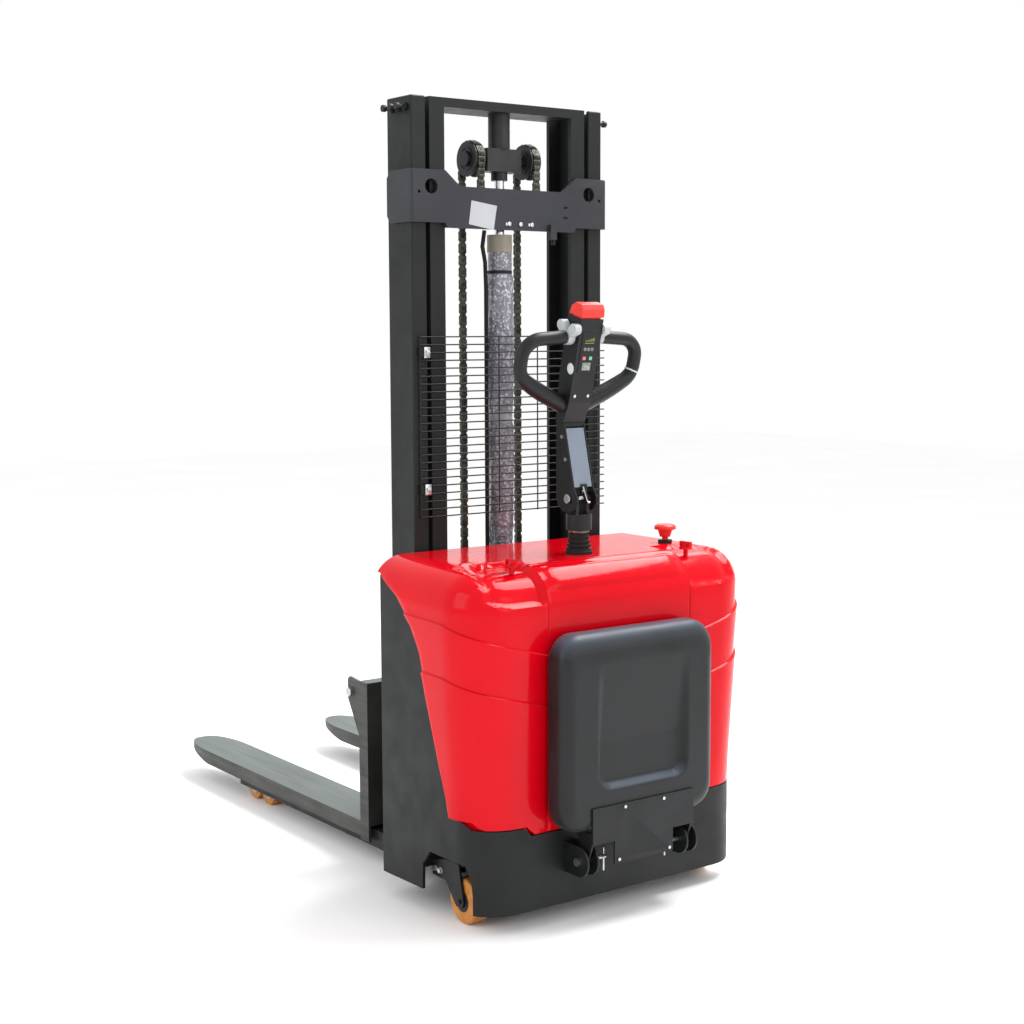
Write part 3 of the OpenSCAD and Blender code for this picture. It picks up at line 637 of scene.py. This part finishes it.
# Half width and rear face of the hood, and the rear edge of its wings, by height
HOOD_HALF = ([214, 461, 640, 787], [433, 444, 452, 455])
HOOD_REAR = ([214, 461, 640, 787], [1.7, -0.2, -1.5, -2])
HOOD_ROUND = 96      # radius of the rounding from the walls to the top
HOOD_FRONT = 439
SHOULDER = 787       # height where that rounding starts
SEAM = 228           # half the rear panel's width
PANEL_REACH = 86     # how far the panel reaches forward over the shoulder
MIDDLE_COLUMNS = 10  # columns over half the panel
RECESS_HALF = 417.5  # half width of the strip hidden behind the wings
WING_TOP = (834, 844)
TIER_STEP = 5.5      # how far each tier below a moulded line stands out
WING_EDGE = ([276, 399, 577, 674, 732, 798, 834, 845], [122, 159, 203, 224, 257, 325, 411, 434])
SKIRT_EDGE = ([276, 296, 412, 424], [236, 258, 260, 278])
# Heights of the two moulded lines, by distance round the hood from the start of its corner
LINE_AT = [-320, -180, 0, 188, 300]
UPPER_LINE = [772, 770, 755, 700, 668]
LOWER_LINE = [632, 630, 624, 575, 542]
CORNER = 120
SCOOP = 15           # depth of the hollow round each latch
TUCK = 14            # how far the lower edge stands behind the skirt


def hood_columns():
    """Column kinds from the front of the left side round to the middle of the rear."""
    recess = [("recess", t) for t in np.linspace(0, 1, 5)]
    lip = [("lip", t) for t in (0.6, 2.0, 5.0)]
    side = [("side", t) for t in np.linspace(0, 1, 9)[1:-1]]
    # some columns stand on the breaks of the skirt's top line
    corner = [("corner", t) for t in (0, 0.06, 0.12, 0.18, 0.248, 0.315, 0.382, 0.46,
                                         0.54, 0.62, 0.70, 0.78, 0.86, 0.93, 1.0)]
    rear = [("rear", t) for t in (0.176, 0.294, 0.412, 0.56, 0.70, 0.85, 1.0)]
    middle = [("middle", t) for t in np.linspace(0, 1, MIDDLE_COLUMNS + 1)[1:]]
    return recess + lip + side + corner + rear + middle


def hood_point(kind, t, z, inset, bulge):
    """One point of the hood's left half, its distance round the hood, and its outward direction."""
    half = np.interp(z, *HOOD_HALF) - inset
    rear = np.interp(z, *HOOD_REAR) + inset
    radius = CORNER - inset
    turn_y = rear + radius
    wing_y = max(np.interp(z, *WING_EDGE), turn_y + 7)
    if kind in ("recess", "lip", "side"):
        out = Vector((-1, 0, 0))
        if kind == "recess":
            y = HOOD_FRONT + (wing_y - HOOD_FRONT) * t
            behind = 1 - step(z, *WING_TOP)
            x = -half - bulge
            return Vector((x + (-RECESS_HALF - x) * behind, y, z)), turn_y - y, out
        y = wing_y - t if kind == "lip" else wing_y - 5 + (turn_y - wing_y + 5) * t
        x = -half - bulge
        if kind == "lip" and z < WING_TOP[1]:
            x += {0.6: 2.6, 2.0: 0.8, 5.0: 0.0}[t]
        return Vector((x, y, z)), turn_y - y, out
    if kind == "corner":
        turn = math.pi / 2 * t
        out = Vector((-math.cos(turn), -math.sin(turn), 0))
        centre = Vector((-half + radius, turn_y, z))
        return centre + out * (radius + bulge), CORNER * turn, out
    out = Vector((0, -1, 0))
    if kind == "rear":
        x = -(half - radius) + (half - radius - SEAM) * t
        return Vector((x, rear - bulge, z)), CORNER * math.pi / 2 + (half - radius) + x, out
    return Vector((-SEAM * (1 - t), rear, z)), 300, out


def line_bulge(z, upper, lower, fade):
    """How far the tiers below the two moulded lines stand out."""
    bulge = 0
    for line, height in ((upper, upper - lower), (lower, 260)):
        below = max(0, 1 - max(0, line - z) / height)
        bulge += TIER_STEP * fade * below * (1 - step(z, line - 1.6, line + 1.6))
    return bulge


def hood_shell_mesh():
    """The hood's left half as a grid of columns, mirrored, with the rear opened for its panel."""
    columns = hood_columns()
    cluster = [-8, -3.5, -1.6, -0.6, 0.6, 1.6, 3.5]
    grid = []
    for kind, t in columns:
        point, around, _ = hood_point(kind, t, 500, 0, 0)
        upper = np.interp(around, LINE_AT, UPPER_LINE)
        lower = np.interp(around, LINE_AT, LOWER_LINE)
        fade = 1 - 0.4 * step(around, 150, 300)
        if kind == "middle":
            fade = 0
        bottom = 278 if point.y > 90 else np.interp(-point.x, *SKIRT_EDGE)
        heights = list(np.linspace(bottom, lower + cluster[0], 9)[:-1])
        heights += [lower + c for c in cluster]
        heights += list(np.linspace(lower + cluster[-1], upper + cluster[0], 7)[1:-1])
        heights += [upper + c for c in cluster]
        heights += list(np.linspace(upper + cluster[-1], SHOULDER, 5)[1:-1])
        column = [hood_point(kind, t, z, 0, line_bulge(z, upper, lower, fade))[0] for z in heights]
        # lower edge turned in behind the skirt
        column = [hood_point(kind, t, z, TUCK, 0)[0] for z in (226, bottom - 1)] + column
        # shoulder, with the corner scooped out round the latch
        turn = t * 90 if kind == "corner" else (0 if kind in ("recess", "lip", "side") else 90)
        start = np.interp(turn, [0, 20, 45, 90], [66, 46, 14, 4])
        panel_end = math.degrees(math.acos(1 - PANEL_REACH / HOOD_ROUND))
        angles = sorted([i * 4.5 for i in range(21)] + [panel_end])
        for a in angles:
            inset = HOOD_ROUND * (1 - math.cos(math.radians(a)))
            z = SHOULDER + HOOD_ROUND * math.sin(math.radians(a))
            point, _, out = hood_point(kind, t, z, inset, 0)
            normal = out * math.cos(math.radians(a)) + Vector((0, 0, math.sin(math.radians(a))))
            depth = SCOOP * step(a, start, start + 9) * scoop(point)
            column.append(point - normal * depth)
        edge = hood_point(kind, t, SHOULDER + HOOD_ROUND, HOOD_ROUND, 0)[0]
        pole = Vector((0, HOOD_FRONT, edge.z))
        for i in range(1, 25):
            point = edge.lerp(pole, (i / 24) ** 1.15)
            column.append(point - Vector((0, 0, SCOOP * scoop(point))))
        grid.append(column)
    half = np.array(grid)
    mirrored = half[::-1][1:] * np.array([-1, 1, 1])
    points = np.concatenate([half, mirrored]).transpose(1, 0, 2)
    mesh = grid_mesh("hood_shell_finished", placed(points))
    # open the rear for the separate panel: rows of the tuck, tier, line, tier, line, tier and shoulder
    panel_rows = 2 + 8 + 7 + 5 + 7 + 3 + 20
    middle = 2 * MIDDLE_COLUMNS
    first = len(columns) - 1 - MIDDLE_COLUMNS
    bm = bmesh.new()
    bm.from_mesh(mesh)
    bm.faces.ensure_lookup_table()
    across = points.shape[1] - 1
    bmesh.ops.delete(bm, geom=[bm.faces[row * across + column] for row in range(panel_rows)
                               for column in range(first, first + middle)], context="FACES")
    bmesh.ops.remove_doubles(bm, verts=bm.verts, dist=0.05 * MM)
    bmesh.ops.recalc_face_normals(bm, faces=bm.faces)
    if max(bm.faces, key=lambda f: f.calc_center_median().z).normal.z < 0:
        bmesh.ops.reverse_faces(bm, faces=bm.faces)
    bm.to_mesh(mesh)
    bm.free()
    return mesh


def scoop(point):
    """How much of the latch's scoop is felt at a place on the hood."""
    x = abs(point.x)
    return (step(x, SEAM + 2, SEAM + 10) * (1 - step(x, 384, 398))
            * (1 - step(point.y, 146, 160)))


def hood_panel_mesh():
    """The hood's rear panel, with a brow along its upper rounding."""
    rows = []
    levels = [(228, 0.0), (235, 0.0)] + [(z, 0.0) for z in np.linspace(236, SHOULDER, 24)[:-1]]
    levels += [(None, a) for a in np.linspace(0, 83.6, 24)]
    for z, a in levels:
        inset = HOOD_ROUND * (1 - math.cos(math.radians(a))) if z is None else 0
        level = SHOULDER + HOOD_ROUND * math.sin(math.radians(a)) if z is None else z
        rear = np.interp(level, *HOOD_REAR) + inset + (12 if level < 236 else 0)
        row = []
        for x in np.linspace(-SEAM + 1, SEAM - 1, 41):
            brow = 7 * step(a, 24, 31) * (1 - step(a, 60, 74)) * (1 - step(abs(x), 196, 214))
            out = (math.cos(math.radians(a)), math.sin(math.radians(a)))
            row.append((x, rear - brow * out[0], level + brow * out[1]))
        rows.append(row)
    mesh = grid_mesh("hood_panel_finished", placed(rows))
    mesh.flip_normals()
    if mesh.polygons[5].normal.y > 0:
        mesh.flip_normals()
    return mesh


def add_hood():
    walls = ("SOLIDIFY", {"thickness": 5 * MM, "offset": -1.0})
    shell = modified(hood_shell_mesh(), "hood_shell_finished", walls, edges_rounded(2.2, 3, 50))
    piece("hood_shell_finished", shell, RED_ABS, "chassis", ("hood_shell",), 40)
    panel = modified(hood_panel_mesh(), "hood_panel_finished", walls, edges_rounded(2.2, 3, 50))
    piece("hood_panel_finished", panel, RED_ABS, "chassis", ("hood_panel",), 40)


# ---- Folding platform's moulded tray ----

def add_tray():
    """The tray in its folded-up place, as loops from its front face round its rim to its middle."""
    middle_z, half_x, half_z, corner = 482.5, 241, 242.5, 62
    per_corner, points_per_loop = 16, 264
    # how far in from the outline, and how far back, each loop stands
    profile = [(90, -15), (6, -15), (2, -16.5), (0.4, -20), (0, -26), (0, -44), (0.4, -56), (1.6, -63),
               (4.5, -71), (9, -77.5), (15, -82.5), (21, -85.6), (27, -87.4), (32, -88)]
    profile += [(d, -88) for d in range(35, 231, 3)]
    rows = []
    for d, y in profile:
        half_w, half_h = half_x - d, half_z - d
        r = max(corner - d * 0.6, 6)
        r = min(r, half_w, half_h)
        ring = []
        for cx, cz, start in ((1, 1, 0), (-1, 1, 90), (-1, -1, 180), (1, -1, 270)):
            arc = [math.radians(start + 90 * i / per_corner) for i in range(per_corner + 1)]
            ring += [(cx * (half_w - r) + r * math.cos(a), cz * (half_h - r) + r * math.sin(a))
                     for a in arc]
        ring = even_loop(np.array(ring), points_per_loop)
        row = []
        for x, z in ring:
            # the upper border slopes back further than the sides
            z *= 1 - 1.3 * min(d, 32) / (half_z - min(d, 32)) if z > 0 else 1
            row.append((x, y + tray_pocket(x, z + middle_z), z + middle_z))
        rows.append(row)
    mesh = clean(grid_mesh("platform_tray_finished", placed(rows), close_u=True), 0.02, fill=True)
    piece("platform_tray_finished", mesh, TRAY_SKIN, "platform",
          ("platform_tray",), 40)


def even_loop(ring, count):
    """A closed loop's points spread evenly, starting at the same place."""
    closed = np.vstack([ring, ring[:1]])
    lengths = np.concatenate([[0], np.cumsum(np.linalg.norm(np.diff(closed, axis=0), axis=1))])
    at_lengths = np.linspace(0, lengths[-1], count, endpoint=False)
    return np.stack([np.interp(at_lengths, lengths, closed[:, i]) for i in (0, 1)], axis=-1)


def tray_pocket(x, z):
    """Depth of the foot well, which deepens towards its lower edge."""
    left, right, bottom, r = -142, 150, 336, 46
    top, run, deepest = 655, 200, 19
    dx = max(left + r - x, 0, x - (right - r))
    dz = max(bottom + r - z, 0)
    inside = r - math.hypot(dx, dz)
    depth = deepest * np.clip((top - z) / run, 0, 1)
    return depth * step(inside, 0, 20)


# ---- Mast details ----

def add_wrap():
    """Bubble wrap pulled in by tape, over the lift cylinder."""
    bottom, top, cylinder_r = 804, 1656, 28.6
    rng = np.random.default_rng(7)
    phase = rng.uniform(0, 2 * math.pi, 6)
    rows = []
    for z in np.linspace(bottom, top, 165):
        base = np.interp(z, [bottom, 880, 1190, 1215, 1240, 1420, 1590, 1604, 1616, top],
                         [29.2, 33, 36.0, 31.0, 35.5, 38.5, 35.0, 30.5, 32.5, 32.0])
        row = []
        for i in range(72):
            a = 2 * math.pi * i / 72
            fold = 1.5 * math.sin(3 * a + z / 90 + phase[0]) + 1.0 * math.sin(7 * a - z / 37 + phase[1])
            spot = Vector((math.cos(a) * 2.2, math.sin(a) * 2.2, z / 16))
            crumple = 2.2 * noise.noise(spot) + 1.2 * noise.noise(spot * 2.3)
            bound = 1195 < z < 1232 or z > 1598
            loose = np.clip((z - bottom) / 80, 0.15, 1) * (0.25 if bound else 1)
            r = max(base + (fold + crumple) * loose, cylinder_r)
            row.append((r * math.cos(a), CYLINDER_Y + r * math.sin(a), z))
        rows.append(row)
    mesh = clean(grid_mesh("bubble_wrap", placed(rows), close_u=True), 0.001)
    walls = ("SOLIDIFY", {"thickness": 0.5 * MM, "offset": -1.0})
    piece("bubble_wrap", modified(mesh, "bubble_wrap", walls), BUBBLE, "chassis",
          ("cylinder_wrap",), 80)
    band = 1.2
    for name, z0, z1, r, finish, slot in (("wrap_tape", 1200, 1228, 33.2, TAPE, "bubble_film"),
                                          ("wrap_tie", 1600, 1608, 33.4, RUBBER, "rubber"),
                                          ("gland_tape", 1656.5, 1702, 33.6, BROWN_TAPE, "bubble_film")):
        corners = ((r - band, z0), (r, z0), (r, z1), (r - band, z1))
        piece(name, upright_ring(name, CYLINDER_Y, corners, 64), finish, "chassis")


PITCH = 15.875     # five eighths of an inch, in millimetres


def link_plate(side, thickness, half_height, waist):
    """One chain side plate, a pitch long, lying from z = 0 to z = -PITCH."""
    outline = []
    for i in range(9):
        a = math.pi * i / 8
        outline.append((half_height * math.cos(a), half_height * math.sin(a)))
    outline.append((-waist, -PITCH / 2))
    for i in range(9):
        a = math.pi + math.pi * i / 8
        outline.append((half_height * math.cos(a), -PITCH + half_height * math.sin(a)))
    outline.append((waist, -PITCH / 2))
    bm = bmesh.new()
    face = bm.faces.new([bm.verts.new((side * MM, y * MM, z * MM)) for y, z in outline])
    pushed = bmesh.ops.extrude_face_region(bm, geom=[face])
    for v in pushed["geom"]:
        if isinstance(v, bmesh.types.BMVert):
            v.co.x += thickness * MM
    bmesh.ops.recalc_face_normals(bm, faces=bm.faces)
    mesh = bpy.data.meshes.new("plate")
    bm.to_mesh(mesh)
    bm.free()
    return mesh


def chain_link(name, outer):
    """One leaf chain link: four plates and two pins on an outer link, three plates on an inner one."""
    plate, pin_half, pin_r = 2.7, 10, 2.6
    parts = []
    for middle in ((-8, -2.7, 2.7, 8) if outer else (-5.35, 0, 5.35)):
        parts.append(link_plate(middle - plate / 2, plate, 5.8, 4.7))
    if outer:
        for z in (0, -PITCH):
            parts.append(sweep("pin", [(-pin_half * MM, 0, z * MM), (pin_half * MM, 0, z * MM)],
                               pin_r * MM, 12))
    mesh = joined(name, parts)
    smooth(mesh, 40)
    obj = bpy.data.objects.new(name, mesh)
    bpy.context.scene.collection.objects.link(obj)
    return obj


def chain_tree():
    """Geometry nodes that set a link on every pin, turned and stretched as its point says."""
    tree = bpy.data.node_groups.new("chain_links", "GeometryNodeTree")
    sockets = {}
    for name, kind in (("Pins", "NodeSocketGeometry"), ("Inner link", "NodeSocketObject"),
                       ("Outer link", "NodeSocketObject"), ("Finish", "NodeSocketMaterial")):
        sockets[name] = tree.interface.new_socket(name, in_out="INPUT", socket_type=kind).identifier
    tree.interface.new_socket("Chain", in_out="OUTPUT", socket_type="NodeSocketGeometry")
    given = add(tree, "NodeGroupInput")
    outer = add(tree, "GeometryNodeInputNamedAttribute", data_type="BOOLEAN", Name="outer")
    turn = add(tree, "GeometryNodeInputNamedAttribute", data_type="FLOAT", Name="turn")
    stretch = add(tree, "GeometryNodeInputNamedAttribute", data_type="FLOAT", Name="stretch")
    rotation = add(tree, "ShaderNodeCombineXYZ", {"X": turn.outputs["Attribute"]})
    scale = add(tree, "ShaderNodeCombineXYZ", {"Z": stretch.outputs["Attribute"]}, X=1.0, Y=1.0)
    inner = add(tree, "FunctionNodeBooleanMath", {0: outer.outputs["Attribute"]}, operation="NOT")
    join = add(tree, "GeometryNodeJoinGeometry")
    for name, chosen in (("Inner link", inner.outputs[0]), ("Outer link", outer.outputs["Attribute"])):
        shape = add(tree, "GeometryNodeObjectInfo", {"Object": given.outputs[name]})
        links = add(tree, "GeometryNodeInstanceOnPoints",
                    {"Points": given.outputs["Pins"], "Selection": chosen,
                     "Instance": shape.outputs["Geometry"], "Rotation": rotation.outputs["Vector"],
                     "Scale": scale.outputs["Vector"]})
        tree.links.new(links.outputs["Instances"], join.inputs["Geometry"])
    whole = add(tree, "GeometryNodeRealizeInstances", {"Geometry": join.outputs["Geometry"]})
    finish = add(tree, "GeometryNodeSetMaterial",
                 {"Geometry": whole.outputs["Geometry"], "Material": given.outputs["Finish"]})
    add(tree, "NodeGroupOutput", {"Chain": finish.outputs["Geometry"]})
    return tree, sockets


def chain_run(name, tree, sockets, links, pins, first):
    """A run of links through pins (millimetres); first is the number of its first link."""
    points = [Vector(p) for p in placed(pins)]
    mesh = bpy.data.meshes.new(name)
    mesh.from_pydata(points[:-1], [], [])
    count = len(points) - 1
    legs = [b - a for a, b in zip(points, points[1:])]
    values = {"turn": ("FLOAT", [math.atan2(leg.y, -leg.z) for leg in legs]),
              "stretch": ("FLOAT", [leg.length / (PITCH * MM) for leg in legs]),
              "outer": ("BOOLEAN", [(first + i) % 2 == 1 for i in range(count)])}
    for key, (kind, data) in values.items():
        mesh.attributes.new(key, kind, "POINT").data.foreach_set("value", data)
    obj = bpy.data.objects.new(name, mesh)
    bpy.context.scene.collection.objects.link(obj)
    modifier = obj.modifiers.new("links", "NODES")
    modifier.node_group = tree
    for key, value in (("Inner link", links[0]), ("Outer link", links[1]), ("Finish", CHAIN)):
        modifier[sockets[key]] = value
    return plain_mesh(obj, name)


def add_chains():
    """Both lift chains: the rear strands, the turn over each wheel and the front strands."""
    tree, sockets = chain_tree()
    links = (chain_link("inner_link", False), chain_link("outer_link", True))
    (wheel_y, wheel_z), r = CHAIN_WHEEL, 43.6
    runs = {"rear": [], "wrap": [], "front": []}
    for x in (-90, 90):
        up = [(x, wheel_y - r, z) for z in np.linspace(1775, wheel_z, 9)]
        over = [(x, wheel_y + r * math.cos(a), wheel_z + r * math.sin(a))
                for a in np.linspace(math.pi, 0, 10)]
        down = [(x, wheel_y + r, z) for z in np.linspace(wheel_z, 360, 98)]
        for key, pins, first in (("rear", up, 0), ("wrap", over, 8), ("front", down, 17)):
            runs[key].append(chain_run("chain_" + key, tree, sockets, links, pins, first))
    for link_object in links:
        bpy.data.objects.remove(link_object)
    finished = {}
    for key, meshes in runs.items():
        finished[key] = joined("chain_" + key, meshes)
        finished[key].materials.clear()
        smooth(finished[key], 40)
    link("chain_wraps_finished", finished["wrap"], CHAIN, "inner_mast",
         ("chain_wraps",))
    front = link("front_chains_finished", finished["front"], CHAIN, None,
                 ("front_chains",))
    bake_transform(front)
    rear = link("rear_chains_finished", finished["rear"], CHAIN, None,
                ("rear_chains",))
    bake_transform(rear)


def add_mast_details():
    """Guard clips, screw heads, the blank label and the stop sensor."""
    clips = []
    for z in (1041, 1394):
        clips.append(box_mesh("clip", (-282, 449, z - 14), (-264, 453, z + 14)))
        clips.append(sweep("screw", placed([(-273, 449, z), (-273, 443, z)]), 6 * MM, 18))
        clips.append(sweep("screw", placed([(-273, 443, z), (-273, 440, z)]), 3.5 * MM, 12))
    clips = modified(joined("guard_clips", clips), "guard_clips", edges_rounded(0.8))
    piece("guard_clips", clips, ZINC, "chassis")
    heads = [sweep("screw", placed([(x, 451.3, 1728), (x, 447.6, 1728)]), 6 * MM, 18)
             for x in (-12, 25, 62)]
    heads = modified(joined("plate_screws", heads), "plate_screws", edges_rounded(1.0))
    piece("plate_screws", heads, ZINC, "chassis")
    heads = [sweep("screw", placed([(x, -92.6, z), (x, -96.4, z)]), 4.4 * MM, 18)
             for x, z in ((-62, 292), (62, 292), (-81, 163), (81, 163))]
    heads = modified(joined("bracket_screws", heads), "bracket_screws", edges_rounded(1.2))
    piece("bracket_screws", heads, ZINC, "platform")
    # blank paper label with one corner lifting
    corners = np.array([[-141, 450.3, 1723], [-62, 450.3, 1710],
                        [-52, 450.3, 1773], [-132, 450.3, 1784]])
    rows = []
    for v in np.linspace(0, 1, 9):
        row = []
        for u in np.linspace(0, 1, 9):
            p = ((1 - u) * (1 - v) * corners[0] + u * (1 - v) * corners[1]
                 + u * v * corners[2] + (1 - u) * v * corners[3])
            p[1] -= 5 * max(0, u * v - 0.55) ** 1.5
            row.append(p)
        rows.append(row)
    label = grid_mesh("blank_label", placed(rows))
    walls = ("SOLIDIFY", {"thickness": 0.3 * MM, "offset": 0.0})
    piece("blank_label", modified(label, "blank_label", walls), PAPER, "chassis", (), 60)
    sensor = sweep("stop_sensor", placed([(130, 446, 1700), (130, 446, 1676)]), 5.5 * MM, 18)
    lead_path = placed([(130, 446, 1699), (130, 452, 1716), (122, 458, 1735)])
    lead = sweep("sensor_lead", rounded(lead_path, 8 * MM), 2.2 * MM, 10)
    piece("stop_sensor", joined("stop_sensor", [sensor, lead]), RUBBER, "chassis")


# ---- Tiller details ----

def add_loops_and_tie():
    """The two handle loops, and a cable tie left on the right-hand one."""
    path = [[58.5, 30, 162], [150, 30, 156], [181, 30, 128], [181, 30, 62], [120, 30, 26],
            [34, 30, -13]]
    tie_at, swell_at = 24, 33    # places along the rounded bar
    bar_r, swell_r, foot_r = 17.2, 20.5, 22
    loops = []
    for s in (-1, 1):
        bar = rounded(on_head([(s * x, y, z) for x, y, z in path]), 30 * MM, 9)
        # the lower arm swells towards the head
        radii = np.interp(range(len(bar)), [0, tie_at, swell_at, len(bar) - 1],
                          [bar_r, bar_r, swell_r, foot_r])
        loops.append(sweep("loop", bar, radii * MM, 28))
        loops.append(sweep("spigot", on_head([(s * 35, 30, 162), (s * 59.5, 30, 162)]), 9 * MM, 24))
    piece("handle_loops_finished", joined("handle_loops_finished", loops), BLACK_PP, "tiller",
          ("handle_loops",), 50)
    centre = bar[tie_at]
    along = (bar[tie_at + 1] - bar[tie_at - 1]).normalized()
    side = along.orthogonal().normalized()
    up = along.cross(side)
    inner, outer, half = 17.0, 18.6, 2.2
    turns = np.linspace(0, 2 * math.pi, 40, endpoint=False)
    ring = [[list(centre + (side * math.cos(a) + up * math.sin(a)) * r * MM + along * w * MM)
             for a in turns] for r, w in ((inner, -half), (outer, -half), (outer, half), (inner, half))]
    tie = clean(grid_mesh("cable_tie", np.array(ring), close_u=True, close_v=True), 0.001)
    tail = sweep("tail", [centre + side * 18 * MM, centre + side * 25 * MM + up * 6 * MM], 1.0 * MM, 8)
    piece("cable_tie", joined("cable_tie", [tie, tail]), WHITE_NYLON, "tiller")


def add_panel_marks():
    """Display window, charge bar and plain marks on the tiller head's panel."""
    window = box_mesh("display_window", (-13, -2.3, 84), (13, -1.2, 104), on_head)
    piece("display_window", modified(window, "display_window", edges_rounded(0.5)), LCD, "tiller")
    marks = [box_mesh("mark", (x - 1.2, -1.9, 158), (x + 1.2, -1.4, 161 + i * 1.6), on_head)
             for i, x in enumerate((-12, -6, 0, 6, 12))]
    marks += [box_mesh("mark", (-14, -1.9, 153), (14, -1.4, 154.6), on_head)]
    piece("charge_marks", joined("charge_marks", marks), YELLOW_INK, "tiller")
    rings = []
    for x in (-11, 0, 11):
        arc = [(x + 3.6 * math.cos(a), -1.5, 138 + 3.6 * math.sin(a))
               for a in np.linspace(0, 2 * math.pi, 17)]
        rings.append(sweep("ring", on_head(arc), 0.55 * MM, 6))
        rings.append(box_mesh("dot", (x - 1, -1.9, 137), (x + 1, -1.4, 139), on_head))
    piece("panel_marks", joined("panel_marks", rings), WHITE_NYLON, "tiller")


def add_arm_details():
    """The interlock switch in the arm's open foot, the head's plugs and the ring above the boot."""
    switch = box_mesh("switch_body", (-9, 146, 1038), (9, 156, 1062))
    piece("interlock_switch", modified(switch, "interlock_switch", edges_rounded(0.8)), BLACK_PP,
          "tiller")
    # the lever stays clear of the steering post's lugs when the tiller is down
    lever_path = placed([(-5, 145, 1056), (-3, 141, 1040), (4, 139, 1018), (8.5, 140, 1014)])
    lever = sweep("lever", rounded(lever_path, 6 * MM), 1.7 * MM, 10)
    roller = sweep("roller", placed([(3, 139, 1016), (10.6, 139, 1016)]), 3.2 * MM, 14)
    screw = sweep("screw", placed([(-6, 146, 1046), (-6, 143.5, 1046)]), 2.6 * MM, 12)
    piece("switch_lever", joined("switch_lever", [lever, roller, screw]), ZINC, "tiller")
    # pale plugs set into the round openings of the head's cheeks
    plugs = [sweep("plug", on_head([(s * 29, 17, 84), (s * 33, 17, 84)]), 14.6 * MM, 40)
             for s in (-1, 1)]
    piece("cheek_plugs", modified(joined("cheek_plugs", plugs), "cheek_plugs", edges_rounded(0.5)),
          PALE_PLUG, "tiller")
    # bearing ring above the boot
    corners = ((23, 937.5), (25.6, 937.5), (26, 939), (25.6, 943), (23, 943))
    piece("bearing_ring", upright_ring("bearing_ring", STEER_Y, corners, 40), BEARING, "steer_unit")


# ---- Wheels and running gear details ----

def ring_along_x(name, x0, x1, r0, r1, y, z):
    """A flat ring between two places across the machine and two radii."""
    turns = np.linspace(0, 2 * math.pi, 48, endpoint=False)
    rows = [[(x, y + r * math.cos(a), z + r * math.sin(a)) for a in turns]
            for x, r in ((x0, r0), (x0, r1), (x1, r1), (x1, r0))]
    return clean(grid_mesh(name, placed(rows), close_u=True, close_v=True), 0.001)


def hubs(x, y, z, face, depth, r, sides):
    """The two bosses on a wheel's faces, across x, from face outwards by depth."""
    return joined("hub", [sweep("hub", placed([(x + a, y, z), (x + b, y, z)]), r * MM, sides)
                          for a, b in ((-face - depth, -face), (face, face + depth))])


def add_wheel_details():
    """Hubs of the casters and load rollers, the casters' bolts and the chain wheels' rings."""
    caster_x, caster_y, caster_z = 365, 135, 57.5
    roller_x, roller_z = 248.5, 40
    chain_x = 90
    for side, s in (("left", -1), ("right", 1)):
        hub = hubs(s * caster_x, caster_y, caster_z, 24, 2.4, 27, 40)
        piece("caster_hub_" + side, modified(hub, "hub", edges_rounded(0.8)), CASTING,
              "caster_wheel_" + side)
        for which, y in (("front", 1445), ("rear", 1355)):
            name = f"load_roller_{side}_{which}"
            hub = hubs(s * roller_x, y, roller_z, 34, 2.4, 22, 36)
            piece(name + "_hub", modified(hub, "hub", edges_rounded(0.6)), ZINC, name)
        # each bolt is a round washer and a six-sided head on the fork's outer cheek
        bolts = []
        for y in (214, 238):
            for a, b, r, sides in ((34, 36.5, 8, 24), (36.5, 42, 6.5, 6)):
                ends = [(s * (caster_x + a), y, 117), (s * (caster_x + b), y, 117)]
                bolts.append(sweep("bolt", placed(ends), r * MM, sides))
        piece("caster_bolts_" + side, joined("bolts", bolts), ZINC, "caster_" + side)
        # raised ring and boss on both faces of the chain wheel
        rings = [ring_along_x("ring", s * chain_x + a, s * chain_x + b, r0, r1, *CHAIN_WHEEL)
                 for r0, r1 in ((12.4, 20), (27, 31)) for a, b in ((-17.2, -15), (15, 17.2))]
        piece("chain_wheel_rings_" + side, modified(joined("rings", rings), "rings", edges_rounded(0.6)),
              CASTING, "chain_wheel_" + side)


# ---- Build ----

for node in NODES:
    paint(node, FINISH[SLOT[node]])
paint("platform_tray", TRAY_SKIN)
for node, width in EDGES.items():
    finish = {"key_red": KEY_RED, "cross_plate": PLATE_PAINT}.get(node, FINISH[SLOT[node]])
    softened(node, finish, width, round_first=round_ears if node == "cross_plate" else None)
add_hood()
add_tray()
add_wrap()
add_chains()
add_mast_details()
add_loops_and_tie()
add_panel_marks()
add_arm_details()
add_wheel_details()
